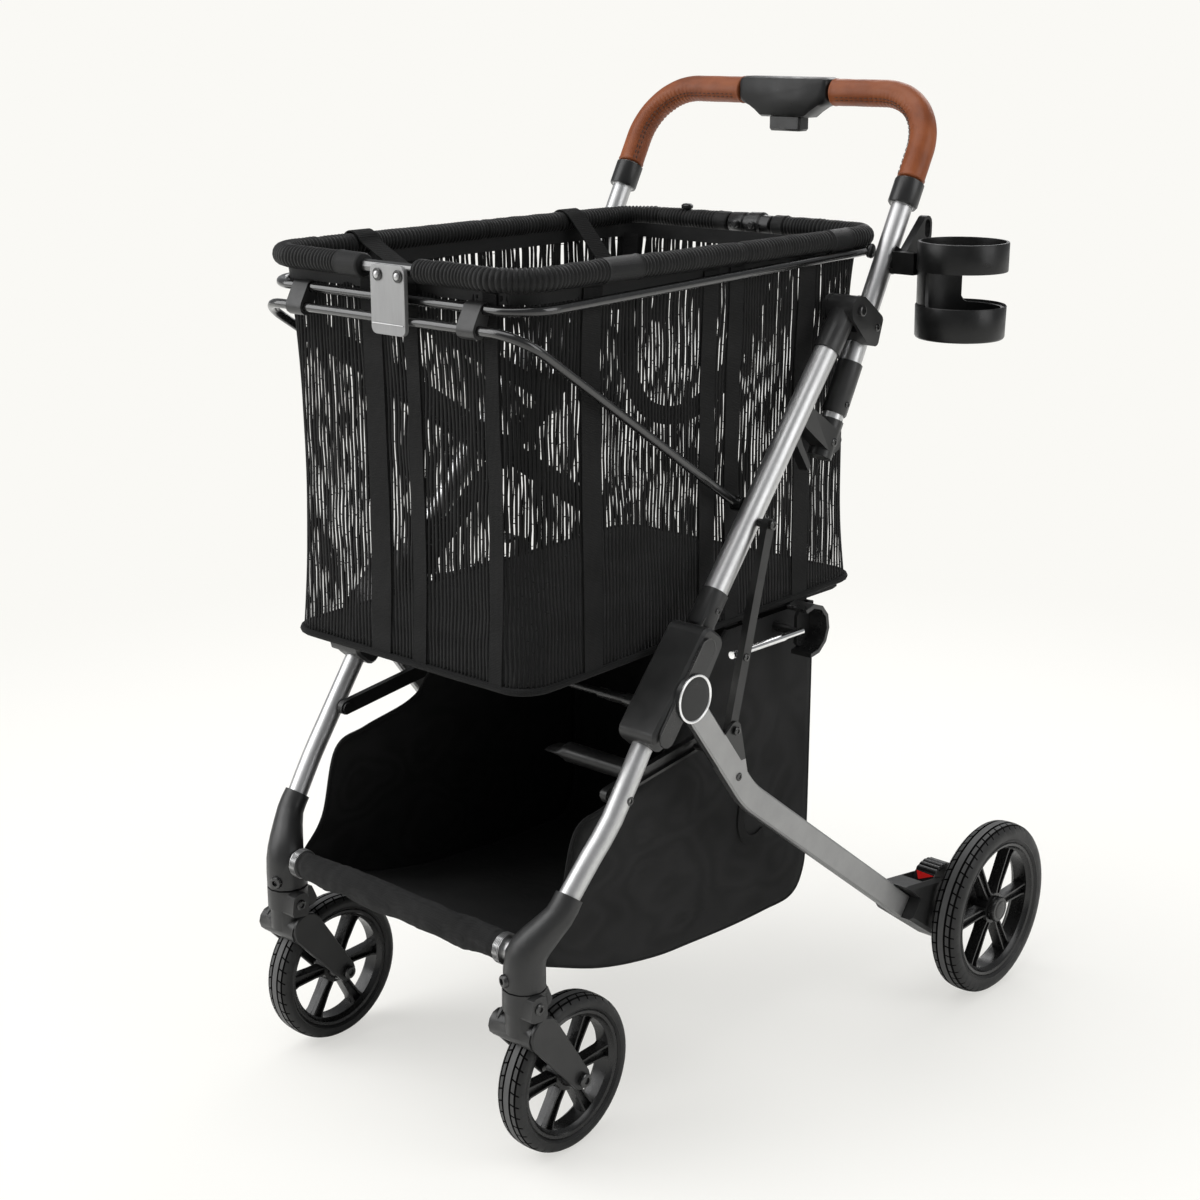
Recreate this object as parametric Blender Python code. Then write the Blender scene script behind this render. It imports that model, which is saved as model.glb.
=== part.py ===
"""Shopping rollator: a folding frame with a mesh basket, a lower bag, swivel front wheels and braked rear wheels.

Metres. X runs across, the cart's front is at -Y and Z is up. Near is the +X side, which carries the cup holder.
Plane outlines are (y, z) pairs, counted from the front wheels' axle line on the ground. The empty named cart moves
the whole so that the middle of its footprint is at the origin. The hinge frame has d along the upper tube and e
square to it, towards the back.
"""

import math

import bmesh
import bpy
from mathutils import Vector

# from the front axle line back to the middle of the footprint
MIDDLE = 0.3020

# frame planes, half distances from the middle
HINGE_X = 0.2105
TUBE_X = 0.1980
LEG_IN = 0.2250
LEG_OUT = 0.2370
GAP = 0.0003
PLAY = 0.0006

# main fold: the disc hinge and the handle pivot
HINGE = (0.1182, 0.4604)
HANDLE_PIVOT = (0.4140, 0.8045)
UPPER_R = 0.0127
LEG_R = 0.0110
HANDLE_R = 0.0115

# housing of the disc hinge, in its own d and e
HOUSING_IN = 0.1895
HOUSING_OUT = 0.2372
HOUSING_TOP = 0.0712
HOUSING_FOOT = -0.0610
HOUSING_FRONT = -0.0245
HOUSING_BACK = 0.0130
PIN_R = 0.0040
TONGUE_HALF = 0.0085

# handle: a straight line in the side view, from the claw to the cross bar
HANDLE_LINE = (0.5120, 0.9050)
HANDLE_DIR = (0.4770, 0.8790)
HANDLE_FOOT_Z = 0.6680
CROSS_BAR_Z = 1.0170
GRIP_R = 0.0148
COVER_HALF = 0.0620

# front wheels and casters
CASTER_X = 0.1780
CASTER_Y = -0.0560
FRONT_R = 0.0825
FRONT_X = 0.1763
CASTING_TOP = (0.2016, -0.0181, 0.2848)
CASTING_FOOT_Z = 0.1985
CROSS_BAR = (-0.0548, 0.2286)

# rear legs and wheels
BEND = (0.2187, 0.3286)
LEG_END = (0.4344, 0.1554)
LEG_END_X = 0.2620
REAR_R = 0.1015
REAR_X = 0.3077
REAR_Y = 0.5854
PEDAL_PIVOT = (0.5260, 0.1320)
TAB_PIN = (0.1919, 0.4068)
LINK_TOP = (0.2470, 0.6094)
STAY_FOOT = (0.0475, 0.3690)
STUD = (0.1755, 0.3853)
ROD_START = (0.2065, 0.4790)
CLIP = (0.3290, 0.4790)

# basket
HOOP_X = 0.1808
HOOP_R = 0.0047
RIM_HALF = 0.1745
RIM_FRONT = -0.0500
RIM_BACK = 0.5080
RIM_Z = 0.8730
RIM_R = 0.0110
BAG_HALF = 0.1700
BAG_FRONT = -0.0400
BAG_BACK = 0.4890
BAG_FOOT = 0.4820
BAG_TOP = 0.8616
WALL = 0.0025
LOWER_HALF = 0.1765

# cup holder
CUP = (0.2835, 0.5000)
CUP_R = 0.0467
CUP_FOOT = 0.7796
CUP_HEIGHT = 0.0883

AXIS = Vector((HANDLE_PIVOT[0] - HINGE[0], HANDLE_PIVOT[1] - HINGE[1])).normalized()
SQUARE = Vector((AXIS.y, -AXIS.x))
UPPER_LENGTH = (Vector(HANDLE_PIVOT) - Vector(HINGE)).length
HANDLE_RUN = Vector((0, *HANDLE_DIR)).normalized()
HOMES = {}


def clear_scene():
    for ob in list(bpy.data.objects):
        bpy.data.objects.remove(ob, do_unlink=True)


def material(name, colour, rough, metal=0.0):
    mat = bpy.data.materials.new(name)
    mat.use_nodes = True
    shader = mat.node_tree.nodes["Principled BSDF"]
    shader.inputs["Base Color"].default_value = (*colour, 1.0)
    shader.inputs["Roughness"].default_value = rough
    shader.inputs["Metallic"].default_value = metal
    return mat


def axis_empty(name, point, parent="cart"):
    """An empty on a joint's axis. The pieces that turn or slide together hang from it."""
    ob = bpy.data.objects.new(name, None)
    bpy.context.collection.objects.link(ob)
    ob.parent = bpy.data.objects[parent]
    ob.location = Vector(point) - HOMES[parent]
    HOMES[name] = Vector(point)


def make(name, bm, mat, home="cart"):
    """Turns a bmesh in cart coordinates into a named piece that hangs from its home empty."""
    bmesh.ops.recalc_face_normals(bm, faces=bm.faces)
    bmesh.ops.translate(bm, verts=bm.verts, vec=-HOMES[home])
    mesh = bpy.data.meshes.new(name)
    ob = bpy.data.objects.new(name, mesh)
    ob.parent = bpy.data.objects[home]
    bm.to_mesh(mesh)
    bm.free()
    mesh.materials.append(mat)
    mesh.shade_smooth()
    mesh.set_sharp_from_angle(angle=math.radians(35))
    bpy.context.collection.objects.link(ob)
    return ob


def combine(ob, name, bm, operation):
    """Adds a Boolean. bm is a bmesh in cart coordinates, or an object that is a helper already."""
    other = bm
    if isinstance(bm, bmesh.types.BMesh):
        other = make("tool_" + name, bm, ob.data.materials[0])
        other.hide_render = True
        other.display_type = "WIRE"
    mod = ob.modifiers.new(operation.lower() + "_" + name, "BOOLEAN")
    mod.operation = operation
    mod.solver = "EXACT"
    mod.object = other


def join(ob, name, bm):
    combine(ob, name, bm, "UNION")


def cut(ob, name, bm):
    combine(ob, name, bm, "DIFFERENCE")


def bevel(ob, width, segments=1, angle=35.0):
    mod = ob.modifiers.new("bevel", "BEVEL")
    mod.width = width
    mod.segments = segments
    mod.limit_method = "ANGLE"
    mod.angle_limit = math.radians(angle)
    mod.use_clamp_overlap = True


def hinge_point(d, e=0.0):
    """From the hinge frame to (y, z)."""
    p = Vector(HINGE) + AXIS * d + SQUARE * e
    return (p.x, p.y)


def handle_point(z):
    """The handle line's (y, z) at height z."""
    return (HANDLE_LINE[0] + (z - HANDLE_LINE[1]) * HANDLE_DIR[0] / HANDLE_DIR[1], z)


def at(x, plane):
    return Vector((x, plane[0], plane[1]))


def in_x(side, low, high):
    """The span low to high on the near side, or its mirror image on the far one."""
    return (low, high) if side > 0 else (-high, -low)


def upper_point(side, d):
    """A point on the upper tube's axis, which leans inwards from the hinge to the handle pivot."""
    foot = at(side * HINGE_X, HINGE)
    return foot + (at(side * TUBE_X, HANDLE_PIVOT) - foot) * (d / UPPER_LENGTH)


def circle(centre, radius, count=12, start=0.0, end=360.0, closed=True):
    """Points round a circle, or along an arc from start to end in degrees."""
    steps = count if closed else count - 1
    out = []
    for i in range(count):
        t = math.radians(start + (end - start) * i / steps)
        out.append((centre[0] + radius * math.cos(t), centre[1] + radius * math.sin(t)))
    return out


def hull(points):
    """The convex outline of some plane points, in turn."""
    pts = sorted(set((round(a, 7), round(b, 7)) for a, b in points))

    def half(seq):
        out = []
        for p in seq:
            while len(out) > 1:
                a, b = out[-2], out[-1]
                if (b[0] - a[0]) * (p[1] - a[1]) - (b[1] - a[1]) * (p[0] - a[0]) > 1e-12:
                    break
                out.pop()
            out.append(p)
        return out[:-1]

    return half(pts) + half(pts[::-1])


def blob(*circles, count=12):
    """The tight outline round circles given as (centre, radius)."""
    pts = []
    for centre, radius in circles:
        pts += circle(centre, radius, count)
    return hull(pts)


def skin(bm, rings, closed=False, caps=True):
    """Faces between loops of vertices."""
    pairs = list(zip(rings, rings[1:]))
    if closed:
        pairs.append((rings[-1], rings[0]))
    for a, b in pairs:
        n = len(a)
        for i in range(n):
            bm.faces.new((a[i], a[(i + 1) % n], b[(i + 1) % n], b[i]))
    if caps and not closed:
        bm.faces.new(rings[0])
        bm.faces.new(rings[-1][::-1])


def extrude(bm, corners, travel):
    """Extrudes the face between some corners."""
    base = bm.faces.new([bm.verts.new(p) for p in corners])
    grown = bmesh.ops.extrude_face_region(bm, geom=[base])
    moved = [v for v in grown["geom"] if isinstance(v, bmesh.types.BMVert)]
    bmesh.ops.translate(bm, verts=moved, vec=travel)


def prism(bm, outline, low, high):
    """Extrudes a (y, z) outline from x = low to x = high."""
    extrude(bm, [(low, y, z) for y, z in outline], (high - low, 0, 0))


def upright(bm, outline, low, high):
    """Extrudes an (x, y) outline from z = low to z = high."""
    extrude(bm, [(x, y, low) for x, y in outline], (0, 0, high - low))


def lengthways(bm, outline, low, high):
    """Extrudes an (x, z) outline from y = low to y = high."""
    extrude(bm, [(x, low, z) for x, z in outline], (0, high - low, 0))


def block(bm, low, high):
    """A box between two corners."""
    prism(bm, [(low[1], low[2]), (high[1], low[2]), (high[1], high[2]), (low[1], high[2])], low[0], high[0])


def rounded(points, radius, steps=4):
    """A line through the points with every inner corner turned into an arc."""
    pts = [Vector(p) for p in points]
    out = [pts[0]]
    for a, b, c in zip(pts, pts[1:], pts[2:]):
        u = (a - b).normalized()
        w = (c - b).normalized()
        half = u.angle(w) / 2
        centre = b + (u + w).normalized() * (radius / math.sin(half))
        first = (b + u * (radius / math.tan(half)) - centre).normalized()
        last = (b + w * (radius / math.tan(half)) - centre).normalized()
        for k in range(steps + 1):
            out.append(centre + first.slerp(last, k / steps) * radius)
    out.append(pts[-1])
    return out


def smooth_line(points, steps=3):
    """A soft curve through the points."""
    pts = [Vector(p) for p in points]
    ends = [2 * pts[0] - pts[1]] + pts + [2 * pts[-1] - pts[-2]]
    out = []
    for a, b, c, d in zip(ends, ends[1:], ends[2:], ends[3:]):
        for k in range(steps):
            t = k / steps
            pull = (c - a) * t + (2 * a - 5 * b + 4 * c - d) * t * t + (3 * b - a - 3 * c + d) * t**3
            out.append(b + 0.5 * pull)
    out.append(pts[-1])
    return out


def stepped(value, marks):
    """A size read off between (place, size) marks."""
    for (a, p), (b, q) in zip(marks, marks[1:]):
        if value <= b:
            return p + (q - p) * max(0.0, (value - a) / (b - a))
    return marks[-1][1]


def tangents(path):
    out = []
    for i, p in enumerate(path):
        before = (p - path[i - 1]).normalized() if i else Vector()
        after = (path[i + 1] - p).normalized() if i < len(path) - 1 else Vector()
        out.append((before + after).normalized())
    return out


def sections(bm, path, side_r, ref_r, ref, count):
    """Loops square to the path. ref_r is the half size towards ref, side_r the other one. Either may be a list."""
    ref = Vector(ref).normalized()
    rings = []
    for i, (p, t) in enumerate(zip(path, tangents(path))):
        side = t.cross(ref).normalized()
        up = side.cross(t).normalized()
        a = side_r[i] if isinstance(side_r, list) else side_r
        b = ref_r[i] if isinstance(ref_r, list) else ref_r
        turns = [2 * math.pi * k / count for k in range(count)]
        rings.append([bm.verts.new(p + side * (a * math.cos(w)) + up * (b * math.sin(w))) for w in turns])
    return rings


def rod(bm, path, radius, ref, count=12):
    """A round bar along a path."""
    skin(bm, sections(bm, path, radius, radius, ref, count))


def pipe(bm, outer, inner):
    """A tube wall between two sets of loops, open at both ends."""
    skin(bm, outer, caps=False)
    skin(bm, inner, caps=False)
    for a, b in ((outer[0], inner[0]), (outer[-1], inner[-1])):
        n = len(a)
        for i in range(n):
            bm.faces.new((a[i], a[(i + 1) % n], b[(i + 1) % n], b[i]))


def turned(bm, loops, ring):
    """Faces between turned loops. A loop of one vertex is a closed end. ring joins the last loop to the first."""
    pairs = list(zip(loops, loops[1:]))
    if ring:
        pairs.append((loops[-1], loops[0]))
    for a, b in pairs:
        count = max(len(a), len(b))
        for k in range(count):
            m = (k + 1) % count
            if len(a) == 1:
                bm.faces.new((a[0], b[m], b[k]))
            elif len(b) == 1:
                bm.faces.new((a[k], a[m], b[0]))
            else:
                bm.faces.new((a[k], a[m], b[m], b[k]))
    if not ring:
        for end in (loops[0], loops[-1]):
            if len(end) > 1:
                bm.faces.new(end)


def lathe(bm, start, direction, profile, count=12, ring=False):
    """Turns (distance, radius) pairs about a line. A radius of 0 closes an end."""
    d = Vector(direction).normalized()
    ref = Vector((1, 0, 0)) if abs(d.x) < 0.9 else Vector((0, 0, 1))
    u = d.cross(ref).normalized()
    w = u.cross(d).normalized()
    loops = []
    for along, radius in profile:
        p = Vector(start) + d * along
        turns = [2 * math.pi * k / count for k in range(count)] if radius > 0 else [0]
        loops.append([bm.verts.new(p + u * (radius * math.cos(t)) + w * (radius * math.sin(t))) for t in turns])
    turned(bm, loops, ring)


def bar_x(bm, low, high, centre, radius, count=12):
    """A cylinder along X."""
    lathe(bm, (low, centre[0], centre[1]), (1, 0, 0), [(0, radius), (high - low, radius)], count)


def pin_bore(ob, name, side, centre, radius):
    """A hole along X through everything near the frame's plane."""
    bm = bmesh.new()
    bar_x(bm, *in_x(side, 0.1600, 0.2600), centre, radius)
    cut(ob, name, bm)


def build_hinge(side, tag, mats):
    """The moulded housing with its slots for the tongue and the rear leg, and the cover with disc and pin."""
    home = "front_fold_axis"
    r = 0.0110
    front = HOUSING_FRONT + r
    back = HOUSING_BACK - r
    ends = [(hinge_point(HOUSING_TOP - r - 0.0015, front), r), (hinge_point(HOUSING_TOP - r, back), r)]
    ends += [(hinge_point(HOUSING_FOOT + r, front), r), (hinge_point(HOUSING_FOOT + r, back), r)]
    bm = bmesh.new()
    prism(bm, blob(*ends, (HINGE, 0.0195)), *in_x(side, HOUSING_IN, HOUSING_OUT))
    housing = make("hinge_housing_" + tag, bm, mats["black"], home)
    bevel(housing, 0.0030)
    # inner boss on the pin's line
    bm = bmesh.new()
    bar_x(bm, *in_x(side, 0.1815, HOUSING_IN + 0.0020), HINGE, 0.0095)
    join(housing, "boss_" + tag, bm)
    # socket of the front leg
    bm = bmesh.new()
    lathe(bm, at(side * HINGE_X, hinge_point(-0.075)), (0, *AXIS), [(0, LEG_R + GAP), (0.050, LEG_R + GAP)])
    cut(housing, "leg_socket_" + tag, bm)
    # slot of the tongue, open at the top and the back, and slot of the rear leg, open at the foot and the back
    r = 0.0152
    arc = (0.5, 1.05, 1.5708)
    slot = [hinge_point(-r, 0.0350), hinge_point(-r)]
    slot += [hinge_point(-r * math.cos(t), -r * math.sin(t)) for t in arc]
    slot += [hinge_point(0.0850, -r), hinge_point(0.0850, 0.0350)]
    bm = bmesh.new()
    prism(bm, slot, *in_x(side, HINGE_X - TONGUE_HALF - GAP, HINGE_X + TONGUE_HALF + GAP))
    cut(housing, "tongue_slot_" + tag, bm)
    slot = [hinge_point(r, 0.0350), hinge_point(r)]
    slot += [hinge_point(r * math.cos(t), -r * math.sin(t)) for t in arc]
    slot += [hinge_point(-0.0750, -r), hinge_point(-0.0750, 0.0350)]
    bm = bmesh.new()
    prism(bm, slot, *in_x(side, LEG_IN - GAP, HOUSING_OUT + 0.0050))
    cut(housing, "leg_slot_" + tag, bm)
    pin_bore(housing, "pin_bore_" + tag, side, HINGE, PIN_R + GAP)
    # obround cover plate, disc with its raised ring, and the pin
    bm = bmesh.new()
    plate = blob((hinge_point(0.0480, -0.0110), 0.0118), (hinge_point(-0.0460, -0.0080), 0.0118))
    prism(bm, plate, *in_x(side, HOUSING_OUT + GAP, HOUSING_OUT + 0.0030))
    cover = make("hinge_cover_" + tag, bm, mats["black"], home)
    bm = bmesh.new()
    profile = [(0.0, 0.0), (0.0, 0.0203), (0.0010, 0.0209), (0.0010, 0.0236), (-0.0039, 0.0250), (-0.0039, 0.0)]
    lathe(bm, at(side * (HOUSING_OUT + 0.0042), HINGE), (side, 0, 0), profile, 20)
    join(cover, "disc_" + tag, bm)
    bm = bmesh.new()
    bar_x(bm, *in_x(side, 0.1830, HOUSING_OUT + 0.0020), HINGE, PIN_R)
    join(cover, "pin_" + tag, bm)


def build_upper(side, tag, mats):
    """Upper tube, the collar with its tongue, and the eye on top that carries the handle."""
    foot = upper_point(side, 0.0)
    direction = upper_point(side, 1.0) - foot
    bm = bmesh.new()
    lathe(bm, upper_point(side, 0.090), direction, [(0, UPPER_R), (UPPER_LENGTH - 0.108, UPPER_R)])
    tube = make("upper_tube_" + tag, bm, mats["silver"])
    # small keeper under the claw
    keeper = [(0.306, 0.0115), (0.301, 0.0230), (0.297, 0.0360), (0.292, 0.0500)]
    keeper += [(0.286, 0.0490), (0.290, 0.0350), (0.293, 0.0220), (0.296, 0.0115)]
    bm = bmesh.new()
    prism(bm, [hinge_point(*p) for p in keeper], *in_x(side, 0.1965, 0.2085))
    join(tube, "keeper_" + tag, bm)
    bm = bmesh.new()
    outline = blob((HINGE, 0.0142), (hinge_point(0.077, 0.003), 0.0080), (hinge_point(0.077, -0.003), 0.0080))
    prism(bm, outline, *in_x(side, HINGE_X - TONGUE_HALF, HINGE_X + TONGUE_HALF))
    collar = make("tube_collar_" + tag, bm, mats["black"])
    bm = bmesh.new()
    lathe(bm, upper_point(side, 0.0725), direction, [(0, 0.0130), (0.0015, 0.0143), (0.0405, 0.0143)])
    join(collar, "collar_" + tag, bm)
    bm = bmesh.new()
    lathe(bm, upper_point(side, 0.0895), direction, [(0, UPPER_R + GAP), (0.05, UPPER_R + GAP)])
    cut(collar, "collar_bore_" + tag, bm)
    pin_bore(collar, "tongue_bore_" + tag, side, HINGE, PIN_R + PLAY)
    # the eye: a barrel across the tube with a sleeve over the tube's end
    bm = bmesh.new()
    bar_x(bm, *in_x(side, TUBE_X - 0.0150, TUBE_X + 0.0150), HANDLE_PIVOT, 0.0150, 14)
    eye = make("pivot_eye_" + tag, bm, mats["black"])
    bm = bmesh.new()
    lathe(bm, upper_point(side, UPPER_LENGTH - 0.053), direction, [(0, 0.0148), (0.046, 0.0144)])
    join(eye, "eye_sleeve_" + tag, bm)
    bm = bmesh.new()
    lathe(bm, upper_point(side, UPPER_LENGTH - 0.060), direction, [(0, UPPER_R + GAP), (0.0423, UPPER_R + GAP)])
    cut(eye, "eye_bore_" + tag, bm)
    pin_bore(eye, "eye_bolt_bore_" + tag, side, HANDLE_PIVOT, 0.0035 + PLAY)


def build_front_leg(side, tag, mats):
    """Curved leg tube and the casting at its foot."""
    home = "front_fold_axis"
    top = Vector((side * CASTING_TOP[0], *CASTING_TOP[1:]))
    heading = Vector((side * -0.0035, -0.0256, -0.0338)).normalized()
    start = at(side * HINGE_X, hinge_point(-0.0262))
    socket_end = at(side * HINGE_X, hinge_point(-0.0640))
    bends = [(side * 0.2103, 0.0344, 0.3515), (side * 0.2066, 0.0083, 0.3198)]
    path = [start] + smooth_line([socket_end, *bends, top], 2) + [top + heading * 0.0160]
    bm = bmesh.new()
    rod(bm, path, LEG_R, (1, 0, 0))
    make("front_leg_" + tag, bm, mats["silver"], home)
    drop = [top - heading * 0.0010, top + heading * 0.0200]
    drop += [(side * 0.1870, -0.0475, 0.2460), (side * 0.1795, -0.0555, 0.2290)]
    drop += [(side * CASTER_X, CASTER_Y, CASTING_FOOT_Z)]
    line = smooth_line(drop, 2)
    marks = ((0.1900, 0.0218), (0.2250, 0.0214), (0.2420, 0.0192), (0.2650, 0.0150), (0.3000, 0.0137))
    radii = [stepped(q.z, marks) for q in line]
    bm = bmesh.new()
    skin(bm, sections(bm, line, radii, radii, (1, 0, 0), 12))
    elbow = make("elbow_" + tag, bm, mats["black"], home)
    bm = bmesh.new()
    lathe(bm, top - heading * 0.0200, heading, [(0, LEG_R + PLAY), (0.0370, LEG_R + PLAY)])
    cut(elbow, "elbow_socket_" + tag, bm)
    bm = bmesh.new()
    lathe(bm, (side * CASTER_X, CASTER_Y, 0.1850), (0, 0, 1), [(0, 0.0061), (0.0325, 0.0061)], 8)
    cut(elbow, "stem_bore_" + tag, bm)
    bm = bmesh.new()
    bar_x(bm, *in_x(side, 0.1350, 0.1690), CROSS_BAR, 0.0110 + GAP)
    cut(elbow, "crossbar_bore_" + tag, bm)


def build_crossbar(mats):
    """The bar between the castings with a ridged ring at each end, and the bag's hem round it."""
    half = [(0.0, 0.0110), (0.0118, 0.0110), (0.0120, 0.0158), (0.0200, 0.0158), (0.0200, 0.0110)]
    bm = bmesh.new()
    lathe(bm, at(-0.1680, CROSS_BAR), (1, 0, 0), half + [(0.336 - a, r) for a, r in half[::-1]])
    make("crossbar", bm, mats["steel"], "front_fold_axis")
    path = [at(x, CROSS_BAR) for x in (-0.1474, -0.0600, 0.0600, 0.1474)]
    sizes = [0.0145, 0.0156, 0.0156, 0.0145]
    bm = bmesh.new()
    outer = sections(bm, path, sizes, sizes, (0, 0, 1), 12)
    inner = sections(bm, [path[0], path[-1]], 0.0114, 0.0114, (0, 0, 1), 12)
    pipe(bm, outer, inner)
    make("hem_sleeve", bm, mats["cloth"], "front_fold_axis")


def build_caster(side, tag, mats):
    """Fork: two drop shaped plates, a barrel across their tops, the swivel hub with a bolted lug, and the axle."""
    home = "caster_axis_" + tag
    x = side * FRONT_X
    axle = (0.0, FRONT_R)
    outline = blob((axle, 0.0118), ((-0.0525, 0.1512), 0.0190))
    bm = bmesh.new()
    prism(bm, outline, x - 0.0265, x - 0.0212)
    prism(bm, outline, x + 0.0212, x + 0.0265)
    fork = make("caster_fork_" + tag, bm, mats["black"], home)
    bevel(fork, 0.0012)
    bm = bmesh.new()
    bar_x(bm, x - 0.0320, x + 0.0230, (-0.0590, 0.1500), 0.0140)
    join(fork, "barrel_" + tag, bm)
    bm = bmesh.new()
    profile = [(0, 0.0198), (0.0245, 0.0198), (0.0245, 0.0222), (0.0468, 0.0222), (0.0468, 0.0055), (0.0620, 0.0055)]
    lathe(bm, (side * CASTER_X, CASTER_Y, 0.1500), (0, 0, 1), profile, 14)
    join(fork, "swivel_hub_" + tag, bm)
    bm = bmesh.new()
    lug = blob(((-0.0660, 0.1900), 0.0060), ((-0.0580, 0.1900), 0.0060), ((-0.0690, 0.1760), 0.0050),
               ((-0.0560, 0.1740), 0.0050), count=8)
    prism(bm, lug, x + 0.0087, x + 0.0277)
    join(fork, "bolt_lug_" + tag, bm)
    bm = bmesh.new()
    prism(bm, blob(((-0.0380, 0.1850), 0.0085), ((-0.0330, 0.1760), 0.0075), count=8), x - 0.0100, x + 0.0100)
    join(fork, "rear_lug_" + tag, bm)
    bm = bmesh.new()
    bar_x(bm, x - 0.0210, x + 0.0210, axle, 0.0872, 20)
    cut(fork, "wheel_gap_" + tag, bm)
    bm = bmesh.new()
    profile = [(0, 0.0066), (0.0030, 0.0066), (0.0030, 0.0040), (0.0573, 0.0040), (0.0573, 0.0066), (0.0603, 0.0066)]
    lathe(bm, (x - 0.03015, *axle), (1, 0, 0), profile, 6)
    join(fork, "axle_" + tag, bm)


def wheel_loops(bm, centre, profile, spread):
    """Loops of 24 vertices, four to each spoke. spread gives half of a spoke's angle at a radius, in degrees."""
    loops = []
    for along, radius in profile:
        if radius <= 0:
            loops.append([bm.verts.new((centre[0] + along, centre[1], centre[2]))])
            continue
        half = spread(radius)
        third = (60 - 2 * half) / 3
        loop = []
        for k in range(24):
            t = math.radians(60 * (k // 4) + (-half, half, half + third, half + 2 * third)[k % 4])
            y = centre[1] + radius * math.cos(t)
            z = centre[2] + radius * math.sin(t)
            loop.append(bm.verts.new((centre[0] + along, y, z)))
        loops.append(loop)
    return loops


def build_wheel(name, mats, centre, tyre_r, bead_r, half, hub, closed):
    """Six-spoked wheel and its tyre. hub is half of the hub's length. closed is the side with a hub cap, or 0."""
    home = "wheel_axis_" + name
    wall = tyre_r - bead_r
    bm = bmesh.new()
    profile = [(-half, bead_r + 0.40 * wall), (-half * 0.66, tyre_r), (half * 0.66, tyre_r), (half, bead_r + 0.40 * wall)]
    profile += [(half * 0.82, bead_r), (-half * 0.82, bead_r)]
    turned(bm, wheel_loops(bm, centre, profile, lambda r: 7.5), True)
    make("tyre_" + name, bm, mats["tyre"], home)
    seat = bead_r - GAP
    inner = seat - 0.0060
    root = 0.0200
    web = 0.0055
    lip = half * 0.80
    s = closed if closed else 1
    low = [(-s * hub, 0.0100), (-s * web, root), (-s * web, inner), (-s * lip, seat)]
    profile = low + [(-a, r) for a, r in low[::-1]]

    def spread(r):
        return math.degrees(math.asin(0.0052 / r)) if root - 0.001 < r < inner + 0.001 else 7.5

    bm = bmesh.new()
    loops = wheel_loops(bm, centre, profile, spread)
    turned(bm, loops, False)
    # windows: the web's faces go between the spokes, and walls join its two sides
    low_root, low_rim, high_rim, high_root = (loops[i] for i in (1, 2, 5, 6))
    doomed = []
    for k in range(24):
        if k % 4 == 0:
            continue
        m = (k + 1) % 24
        for a, b in ((low_root, low_rim), (high_root, high_rim)):
            corners = {a[k], a[m], b[k], b[m]}
            doomed += [f for f in a[k].link_faces if set(f.verts) == corners]
    bmesh.ops.delete(bm, geom=doomed, context="FACES")
    for k in range(24):
        m = (k + 1) % 24
        if k % 4:
            bm.faces.new((low_root[k], low_root[m], high_root[m], high_root[k]))
            bm.faces.new((low_rim[k], low_rim[m], high_rim[m], high_rim[k]))
        if k % 4 < 2:
            bm.faces.new((low_root[k], low_rim[k], high_rim[k], high_root[k]))
    wheel = make("wheel_" + name, bm, mats["black"], home)
    bm = bmesh.new()
    depth = 0.0415 if closed else 0.0600
    lathe(bm, (centre[0] - s * 0.0300, centre[1], centre[2]), (s, 0, 0), [(0, 0.0050), (depth, 0.0050)], 10)
    cut(wheel, "bore_" + name, bm)


def leg_section(bm, path, wide, thick, chamfer):
    """A flat bar with eased edges along a path."""
    rings = []
    for p, t in zip(path, tangents(path)):
        flat = t.cross(Vector((1, 0, 0))).normalized()
        out = flat.cross(t).normalized()
        corner = [(wide, thick - chamfer), (wide - chamfer, thick)]
        corner += [(-a, b) for a, b in corner[::-1]]
        corner += [(-a, -b) for a, b in corner]
        rings.append([bm.verts.new(p + flat * a + out * b) for a, b in corner])
    skin(bm, rings)


def rear_leg_line(side):
    """Head, knee and foot of the rear leg's centre line."""
    mid = (LEG_IN + LEG_OUT) / 2
    return at(side * mid, HINGE), at(side * mid, BEND), at(side * LEG_END_X, LEG_END)


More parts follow.
